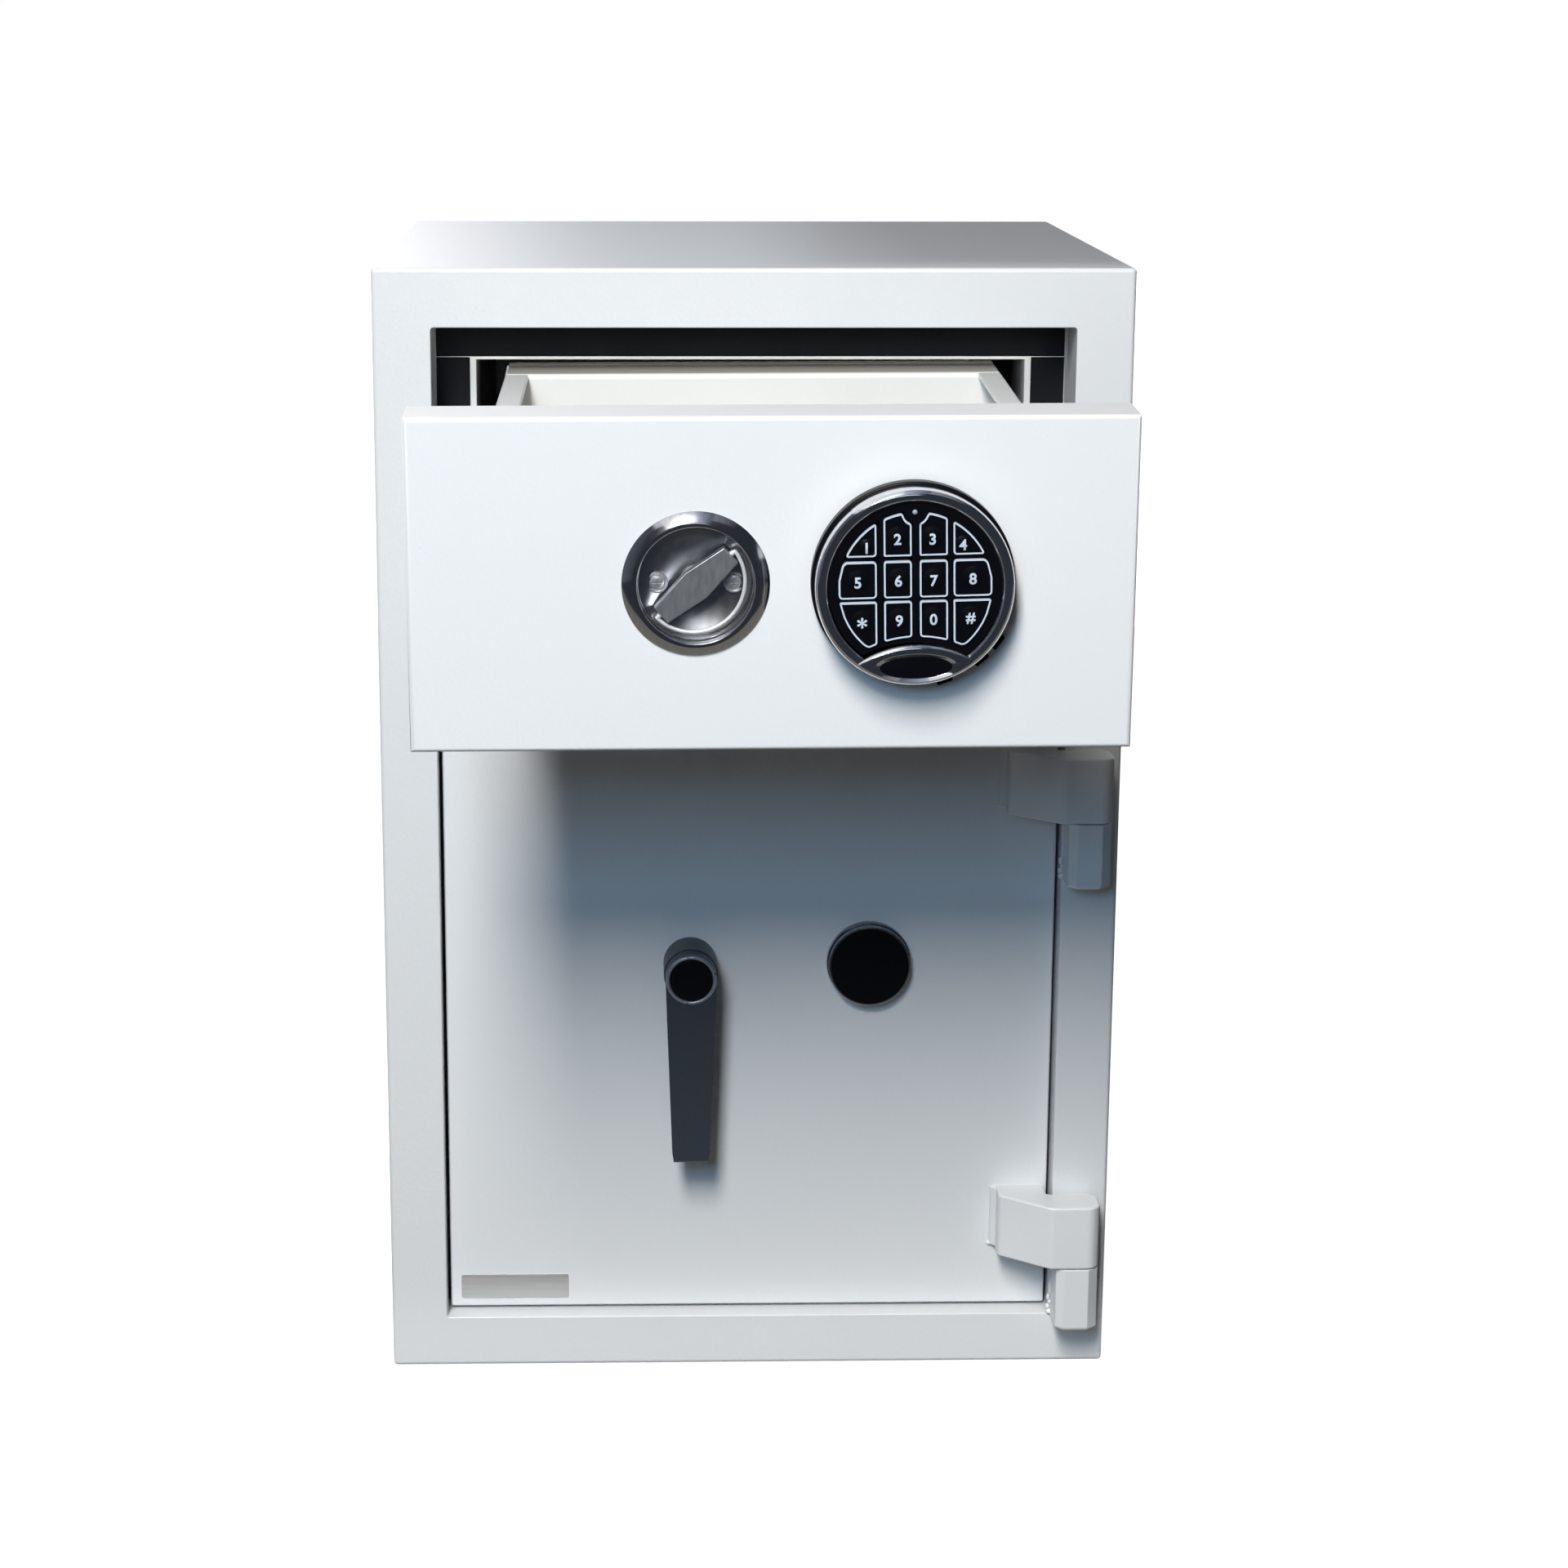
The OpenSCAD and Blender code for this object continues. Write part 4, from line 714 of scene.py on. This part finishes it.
fold = [(BACK_WALL - 1.6, TRAY_FOOT + 2), (BACK_WALL - 1.6, fold_top - 2.5)]
fold += [(BACK_WALL + 0.2 - WALL_BEND * cos(radians(a)), fold_top - WALL_BEND + WALL_BEND * sin(radians(a)))
         for a in (0, 30, 60, 90)]
fold += [(TRAY_Y[1] - 1.5, fold_top), (TRAY_Y[1] - 0.2, fold_top - 1.1),
         (TRAY_Y[1] - 0.2, TRAY_FOOT + 8)]
folded(back, fold, -1.4, -TRAY_X + 1.6, TRAY_X - 1.6, along=0)
# The top of the rear fold carries painted shade: grey at its front edge, darkening to near black towards
# the back.
painted_shade_fold, shader, wire = finish("coat_painted_shade", {"IOR": 1.5})
rear = wire.height("Y").between(-0.2205, -0.178)
rear.tint((0.42, 0.415, 0.39, 1), (0.03, 0.03, 0.032, 1)).feeds(shader, "Base Color")
(wire.noise(330, 2.0) * 0.14 + 0.40).feeds(shader, "Roughness")
wire.noise(330, 2.0).bump(0.0002, 0.5).feeds(shader, "Normal")
for face in back.faces:
    spot = face.calc_center_median()
    face.material_index = 1 if spot.y > BACK_WALL + 0.4 and spot.z > fold_top - 2 else 0
make("tray_back_fold", back, OUT, [cream, painted_shade_fold], "drawer", "coat", "tray_back", "tray_back_cover",
     smooth=40)

# Flush pull: a satin stainless rose with a deep cup, held by two cross-slot screws. The
# six-sided turn bar in the cup is polished on top, and a thin D ring folds down beside it.
stainless, shader, wire = finish("stainless", {"Metallic": 1.0})
lines = wire.noise(500, 3.0, stretch=(1, 0.2, 0.35))
lines.tint((0.52, 0.53, 0.55, 1), (0.66, 0.67, 0.69, 1)).feeds(shader, "Base Color")
(lines * 0.06 + 0.09).feeds(shader, "Roughness")
lines.bump(0.00002, 0.3).feeds(shader, "Normal")
AT_PULL = out_of(PULL[0], RECESS, PULL[1], OUT)
CUP_R, ROSE_R, BOWL_R, BOWL_FOOT = 33, 41.75, 78, -9.5
bowl = [(r, BOWL_FOOT + BOWL_R - sqrt(BOWL_R ** 2 - r ** 2)) for r in (29, 26, 22, 18, 14, 10, BAR_HOLE)]
rose = turned([(BAR_HOLE, -11), (34.5, -11), (34.5, 0), (ROSE_R, 0), (ROSE_R, 0.15),
               *bend(24.44, -20.15, 26.7, 50, 66, 10), *bend(CUP_R + 1.3, 2.95, 1.3, 72, 180, 6),
               (CUP_R, -1.0), *bend(CUP_R - 2.2, -1.4, 2.2, 0, -50, 6), *bowl])
bowl_steel, shader, wire = finish("bowl_steel", {"Metallic": 1.0})
swirl = wire.noise(260, 3.0, stretch=(1, 0.5, 0.5))
swirl.tint((0.38, 0.395, 0.42, 1), (0.52, 0.535, 0.56, 1)).feeds(shader, "Base Color")
(swirl * 0.08 + 0.20).feeds(shader, "Roughness")
swirl.bump(0.00001, 0.2).feeds(shader, "Normal")
for face in rose.faces:
    spot = face.calc_center_median()
    face.material_index = 1 if spot.z < -1.5 and spot.xy.length < CUP_R - 1 else 0
make("pull_rose_turned", rose, AT_PULL, [stainless, bowl_steel], "drawer", "satin_steel", "pull_rose",
     smooth=40)
bright_wire, shader, wire = finish("bright_wire", {"Metallic": 0.45})
drawn = wire.noise(300, 2.0)
drawn.tint((0.86, 0.87, 0.89, 1), (0.96, 0.97, 0.98, 1)).feeds(shader, "Base Color")
(drawn * 0.10 + 0.32).feeds(shader, "Roughness")
drawn.bump(0.00002, 0.4).feeds(shader, "Normal")
screw_zinc, shader, wire = finish("screw_zinc", {"Metallic": 0.8})
grit = wire.noise(700, 2.0)
grit.tint((0.56, 0.57, 0.59, 1), (0.74, 0.75, 0.77, 1)).feeds(shader, "Base Color")
(grit * 0.12 + 0.24).feeds(shader, "Roughness")
grit.bump(0.00004, 0.5).feeds(shader, "Normal")
SCREW_X, SLOT_HALF, SLOT_WIDE = 21.6, 2.7, 0.45
for hand, x in (("left", -SCREW_X), ("right", SCREW_X)):
    screw = turned([(0, -9.0), (6.2, -9.0), (6.2, -5.6), (5.9, -5.1), (5.2, -5.0), (4.6, -5.5),
                    (4.4, -5.2), (3.8, -4.5), (2.4, -4.1), (0, -4.0)])
    for across, along in ((SLOT_HALF, SLOT_WIDE), (SLOT_WIDE, SLOT_HALF)):
        driver = bmesh.new()
        crate(driver, (-across, -along, -4.7), (across, along, -3))
        screw = carve(screw, driver)
    make("pull_screw_" + hand, screw, AT_PULL @ Matrix.Translation((x, 0, 0)), screw_zinc,
         "drawer", "polished")

TILT = Matrix.Rotation(radians(41), 4, "Z")
ROD_R, CAM_R, ROD_FOOT, CAM_T = 5, 18, -51, 6
bar = bmesh.new()
half, wide, end_w = 26, 9.3, 5.8
plan = [(-half, -end_w), (0, -wide), (half, -end_w), (half, end_w), (0, wide), (-half, end_w)]
face = bar.faces.new([bar.verts.new((x, y, -3)) for x, y in plan])
up = bmesh.ops.extrude_face_region(bar, geom=[face], use_keep_orig=True)["geom"]
bmesh.ops.translate(bar, verts=[g for g in up if isinstance(g, bmesh.types.BMVert)],
                    vec=(0, 0, 6.5))
bmesh.ops.recalc_face_normals(bar, faces=bar.faces)
soften(bar, 0.6, 3, pick=lambda e: all(v.co.z > 3 for v in e.verts))
soften(bar, 0.5, 2)
rod(bar, (0, 0, ROD_FOOT), (0, 0, -2), ROD_R, 48)
rod(bar, (0, 0, ROD_FOOT), (0, 0, ROD_FOOT + CAM_T), CAM_R, 64)
brushed_bar, shader, wire = finish("brushed_bar", {"Metallic": 1.0})
strokes = wire.noise(420, 3.0, stretch=(1, 0.3, 0.3))
strokes.tint((0.54, 0.575, 0.63, 1), (0.66, 0.695, 0.75, 1)).feeds(shader, "Base Color")
(strokes * 0.12 + 0.36).feeds(shader, "Roughness")
strokes.bump(0.00003, 0.5).feeds(shader, "Normal")
make("turn_bar_solid", bar, AT_PULL @ TILT, brushed_bar, "turn_bar", "satin_steel", "pull_bar",
     smooth=40)

HOOP_R, WIRE_R, HOOP_DROP = 29, 1.1, 2.2
hoop = bmesh.new()
start = degrees(atan2(HOOP_DROP, HOOP_R))
wire_end = Matrix.Rotation(radians(-start), 4, "Z") \
    @ Matrix.Translation((sqrt(HOOP_R ** 2 + HOOP_DROP ** 2), 0, 0)) @ Matrix.Rotation(radians(90), 4, "X")
bmesh.ops.create_circle(hoop, cap_ends=True, radius=WIRE_R, segments=16, matrix=wire_end)
bmesh.ops.spin(hoop, geom=hoop.verts[:] + hoop.edges[:] + hoop.faces[:], cent=(0, 0, 0),
               axis=(0, 0, 1), angle=radians(-180 + 2 * start), steps=72)
bmesh.ops.translate(hoop, verts=hoop.verts, vec=(0, HOOP_DROP, 0))
for side in (-1, 1):
    rod(hoop, (side * 23, 0, 0), (side * 29.5, 0, 0), 1.0, 16)
    for at in (26.6, 27.7):
        bmesh.ops.create_uvsphere(hoop, u_segments=16, v_segments=10, radius=1.7,
                                  matrix=Matrix.Translation((side * at, 0, 0))
                                  @ Matrix.Diagonal((0.45, 1, 1, 1)))
make("d_ring_wire", hoop, AT_PULL @ TILT @ Matrix.Translation((0, 0, 0.25)), bright_wire, "d_ring",
     "polished", "pull_ring", smooth=60)

# Keypad: a black moulded base carries a plated ring with a bridge across its lower part; the
# black face inside has twelve rubber keys, each with a white border and a domed figure.
AT_PAD = out_of(PAD[0], RECESS, PAD[1], OUT) @ Matrix.Rotation(radians(1.3), 4, "Z")
base = turned([(0, 0), (57.3, 0), (57.3, 5.8), *bend(56.3, 6.6, 1.0, 0, 80, 3), (55.9, 7.9), (0, 7.9)])
make("keypad_foot", base, AT_PAD, matt, "drawer", "black_plastic", "keypad_base", smooth=40)
BEZEL_R, FACE_R = 55.75, 48.3
band = turned([(FACE_R, 7.5), (BEZEL_R, 7.5), (BEZEL_R, 14.0), (BEZEL_R - 0.5, 14.5),
               (BEZEL_R - 0.5, 15.1), (BEZEL_R - 0.1, 15.6), (BEZEL_R - 0.1, 17.0),
               *bend(51.6, 19.0, 4.2, 20, 88, 9), *bend(51.0, 21.2, 2.0, 80, 130, 4),
               (FACE_R + 0.5, 21.6), (FACE_R, 20.6)])
make("keypad_ring", band, AT_PAD, chrome, "drawer", "polished", "keypad_bezel", smooth=26)
dress(matt, "keypad_face")


def patch(columns, rows, left, right, foot, head):
    """A grid bent so that its columns run from foot(x) to head(x)."""
    bm = bmesh.new()
    bmesh.ops.create_grid(bm, x_segments=columns, y_segments=rows, size=0.5)
    for v in bm.verts:
        x = left + (right - left) * (v.co.x + 0.5)
        low, high = foot(x), max(foot(x), head(x))
        v.co = Vector((x, low + (high - low) * (v.co.y + 0.5), 0))
    bmesh.ops.remove_doubles(bm, verts=bm.verts, dist=0.01)
    return bm


def circle_at(middle, radius, x, sign=1):
    """Height at x of the upper or lower half of a circle."""
    return middle + sign * sqrt(max(radius ** 2 - x ** 2, 0))


ARCH_Z, ARCH_R = -91.7, 60
OVAL, PLATE = (24.6, 8.3, -44.8), (20.8, 6.2)
BRIDGE_TOP, ROLL_R = 24.5, 3.2


def bridge_rise(x, y):
    """Height of the bridge: rolled along the arch, with a beaded, dished oval in its middle."""
    inside = ARCH_R - sqrt(x ** 2 + (y - ARCH_Z) ** 2)
    roll = ROLL_R - sqrt(max(ROLL_R ** 2 - max(ROLL_R - inside, 0) ** 2, 0))
    reach = sqrt((x / OVAL[0]) ** 2 + ((y - OVAL[2]) / OVAL[1]) ** 2)
    dish = min(max((1 - reach) / 0.26, 0), 1)
    bead = 0.3 * exp(-((reach - 1.02) / 0.10) ** 2)
    return BRIDGE_TOP - roll + bead - 1.5 * dish ** 2 * (3 - 2 * dish)


bridge = patch(140, 48, -33.0, 33.0, lambda x: circle_at(0, 53.0, x, -1),
               lambda x: circle_at(ARCH_Z, ARCH_R, x))
for v in bridge.verts:
    v.co.z = bridge_rise(v.co.x, v.co.y)
skirt = bmesh.ops.extrude_edge_only(bridge, edges=[e for e in bridge.edges if e.is_boundary])["geom"]
for v in [g for g in skirt if isinstance(g, bmesh.types.BMVert)]:
    v.co.z = 8.5
bmesh.ops.holes_fill(bridge, edges=[e for e in bridge.edges if e.is_boundary], sides=0)
make("keypad_bridge", bridge, AT_PAD, chrome, "drawer", "polished", smooth=60)
oval = turned([(0, 22.4), (1, 22.4), (1, 23.2), (0.97, 23.45), (0, 23.6)])
for v in oval.verts:
    v.co.x, v.co.y = v.co.x * PLATE[0], v.co.y * PLATE[1] + OVAL[2]
make("keypad_blank_plate", oval, AT_PAD, matt, "drawer", "black_plastic", smooth=40)

# Base tabs: three black lugs, moulded in one with the keypad's base. They show beyond the ring
# at its lower right.
for spot, turn in zip("abc", (-37, -50, -73)):
    lug = bmesh.new()
    crate(lug, (52, -4.6, 0.5), (61.4, 4.6, 6.2))
    soften(lug, 0.6, 2)
    make("keypad_lug_" + spot, lug, AT_PAD @ Matrix.Rotation(radians(turn), 4, "Z"), matt, "drawer",
         "black_plastic")

# Keys and their printing: soft black rubber with a white printed border, and bold white
# figures on the domes. Only figures and the two common signs are printed.
print_white, shader, wire = finish("printed_white", {"IOR": 1.45})
speck = wire.noise(1200, 2.0)
speck.tint((0.55, 0.63, 0.74, 1), (0.66, 0.74, 0.84, 1)).feeds(shader, "Base Color")
(speck * 0.1 + 0.45).feeds(shader, "Roughness")
speck.bump(0.00003, 0.4).feeds(shader, "Normal")
COLUMNS = ((-48, -21.5), (-17.5, -2.0), (2.4, 18.0), (21.2, 48))
ROWS = ((18.4, 48), (-5.2, 15.6), (-48, -7.2))
DOMES = ((-27.0, 24.4), (-9.8, 29), (9.6, 28.6), (26.4, 24.9), (-32.1, 5), (-9.5, 5.5), (10.3, 5.1),
         (31.9, 5.6), (-29.9, -17.9), (-9.2, -17.2), (9.9, -16.9), (30.6, -16.9))
KEYS = ("key_1", "key_2", "key_3", "key_4", "key_5", "key_6", "key_7", "key_8", "key_star", "key_9",
        "key_0", "key_hash")
FIGURES = "12345678*90#"
DOME_RISE, KEY_TOP, KEY_T, BORDER = 0.8, 21.9, 2.6, 0.95
FIELD_R, KEY_ARCH_R, NOTCH_R, NO_LIMIT = 43, 64, 7, 99
FIGURE_H, STAR_H, FIGURE_SINK = 8.6, 13, 0.9
for i, key in enumerate(KEYS):
    dome_r = 4.2 if i in (0, 3) else 6.2
    ball = (dome_r ** 2 + DOME_RISE ** 2) / (2 * DOME_RISE)
    left, right = COLUMNS[i % 4]
    low, high = ROWS[i // 4]
    nearest = max(min(abs(low), abs(high)), 6.2 if i > 7 else 0)
    far = sqrt(FIELD_R ** 2 - nearest ** 2) if i % 4 in (0, 3) else NO_LIMIT
    left, right = max(left, -far), min(right, far)

    def foot(x):
        ring_foot = circle_at(0, FIELD_R, x, -1)
        arch = circle_at(ARCH_Z, KEY_ARCH_R, x) if i > 7 else low
        return max(low, ring_foot, arch)

    def head(x):
        notched = abs(x) < NOTCH_R and i < 4
        notch = FIELD_R - sqrt(max(NOTCH_R ** 2 - x * x, 0)) if notched else NO_LIMIT
        return min(high, circle_at(0, FIELD_R, x), notch)

    pad = patch(9, 1, left, right, foot, head)
    bmesh.ops.dissolve_faces(pad, faces=pad.faces[:])
    bmesh.ops.dissolve_degenerate(pad, dist=0.02, edges=pad.edges[:])
    corners = [v for v in pad.verts if len(v.link_edges) == 2
               and (v.link_edges[0].other_vert(v).co - v.co).angle(
                   v.link_edges[1].other_vert(v).co - v.co) < radians(163)]
    bmesh.ops.bevel(pad, geom=corners, offset=2.2, offset_type="OFFSET", affect="VERTICES",
                    segments=4, profile=0.5, material=-1, clamp_overlap=True)
    pad.faces.ensure_lookup_table()
    top = pad.faces[0]
    if top.normal.z < 0:
        bmesh.ops.reverse_faces(pad, faces=[top])
    border = bmesh.ops.inset_region(pad, faces=[top], thickness=BORDER, use_boundary=True,
                                    use_even_offset=True)["faces"]
    for ring_face in border:
        ring_face.material_index = 1
    deep = bmesh.ops.extrude_edge_only(pad, edges=[e for e in pad.edges if e.is_boundary])["geom"]
    for v in [g for g in deep if isinstance(g, bmesh.types.BMVert)]:
        v.co.z -= KEY_T
    rims = [e for e in pad.edges if e.is_boundary]
    for under in bmesh.ops.holes_fill(pad, edges=rims, sides=0)["faces"]:
        under.material_index = 0
    bmesh.ops.translate(pad, verts=pad.verts, vec=(0, 0, KEY_TOP))
    x, y = DOMES[i]
    dome = turned([(0, -0.4), (dome_r, -0.4)] + [
        (dome_r * (1 - t), sqrt(ball ** 2 - (dome_r * (1 - t)) ** 2) - ball + DOME_RISE)
        for t in (0, 0.15, 0.35, 0.6, 0.8, 1)])
    bmesh.ops.translate(dome, verts=dome.verts, vec=(x, y, KEY_TOP))
    make(key + "_pad", pad, AT_PAD, [matt, print_white], key, "black_plastic", key, smooth=40)
    make(key + "_dome", dome, AT_PAD, matt, key, "black_plastic", smooth=40)

    # Figure of this key, printed over its dome
    text = bpy.data.curves.new(key + "_figure", "FONT")
    text.body, text.size = FIGURES[i], STAR_H if FIGURES[i] == "*" else FIGURE_H
    text.offset, text.extrude = 0.22, 0.12
    text.align_x, text.align_y = "CENTER", "CENTER"
    raw = bpy.data.objects.new(key + "_figure", text)
    bpy.context.scene.collection.objects.link(raw)
    bpy.context.view_layer.update()
    figure = bmesh.new()
    figure.from_mesh(raw.to_mesh())
    raw.to_mesh_clear()
    bpy.data.objects.remove(raw)
    lows = [min(v.co[k] for v in figure.verts) for k in (0, 1)]
    highs = [max(v.co[k] for v in figure.verts) for k in (0, 1)]
    for step in range(-7, 8):
        for way in (Vector((1, 0, 0)), Vector((0, 1, 0))):
            bmesh.ops.bisect_plane(figure, geom=figure.verts[:] + figure.edges[:] + figure.faces[:],
                                   plane_co=Vector([(a + b) / 2 for a, b in zip(lows, highs)] + [0])
                                   + way * step * 0.6, plane_no=way)
    for v in figure.verts:
        v.co.x -= (lows[0] + highs[0]) / 2
        v.co.y -= (lows[1] + highs[1]) / 2 + FIGURE_SINK
        under = sqrt(max(ball ** 2 - v.co.x ** 2 - v.co.y ** 2, 0)) - ball + DOME_RISE
        v.co = Vector((v.co.x + x, v.co.y + y, v.co.z + KEY_TOP + under))
    make(key + "_figure", figure, AT_PAD, print_white, key, "black_plastic", smooth=40)

# Status lamp: a small milky lens, pressed into the face between the two middle keys of the
# top row. It is unlit.
LAMP_UP = 42.8
lens, shader, wire = finish("lamp_lens", {"IOR": 1.5, "Emission Strength": 0.0})
milk = wire.noise(2000, 2.0)
milk.tint((0.30, 0.33, 0.40, 1), (0.42, 0.45, 0.52, 1)).feeds(shader, "Base Color")
(milk * 0.1 + 0.15).feeds(shader, "Roughness")
milk.bump(0.00003, 0.4).feeds(shader, "Normal")
bulb = turned([(0, 20.6), (1.55, 20.6), *bend(0, 20.9, 1.5, 0, 90, 5)])
bmesh.ops.translate(bulb, verts=bulb.verts, vec=(0, LAMP_UP, 0))
make("status_lamp", bulb, AT_PAD, lens, "drawer", "black_plastic", smooth=60)
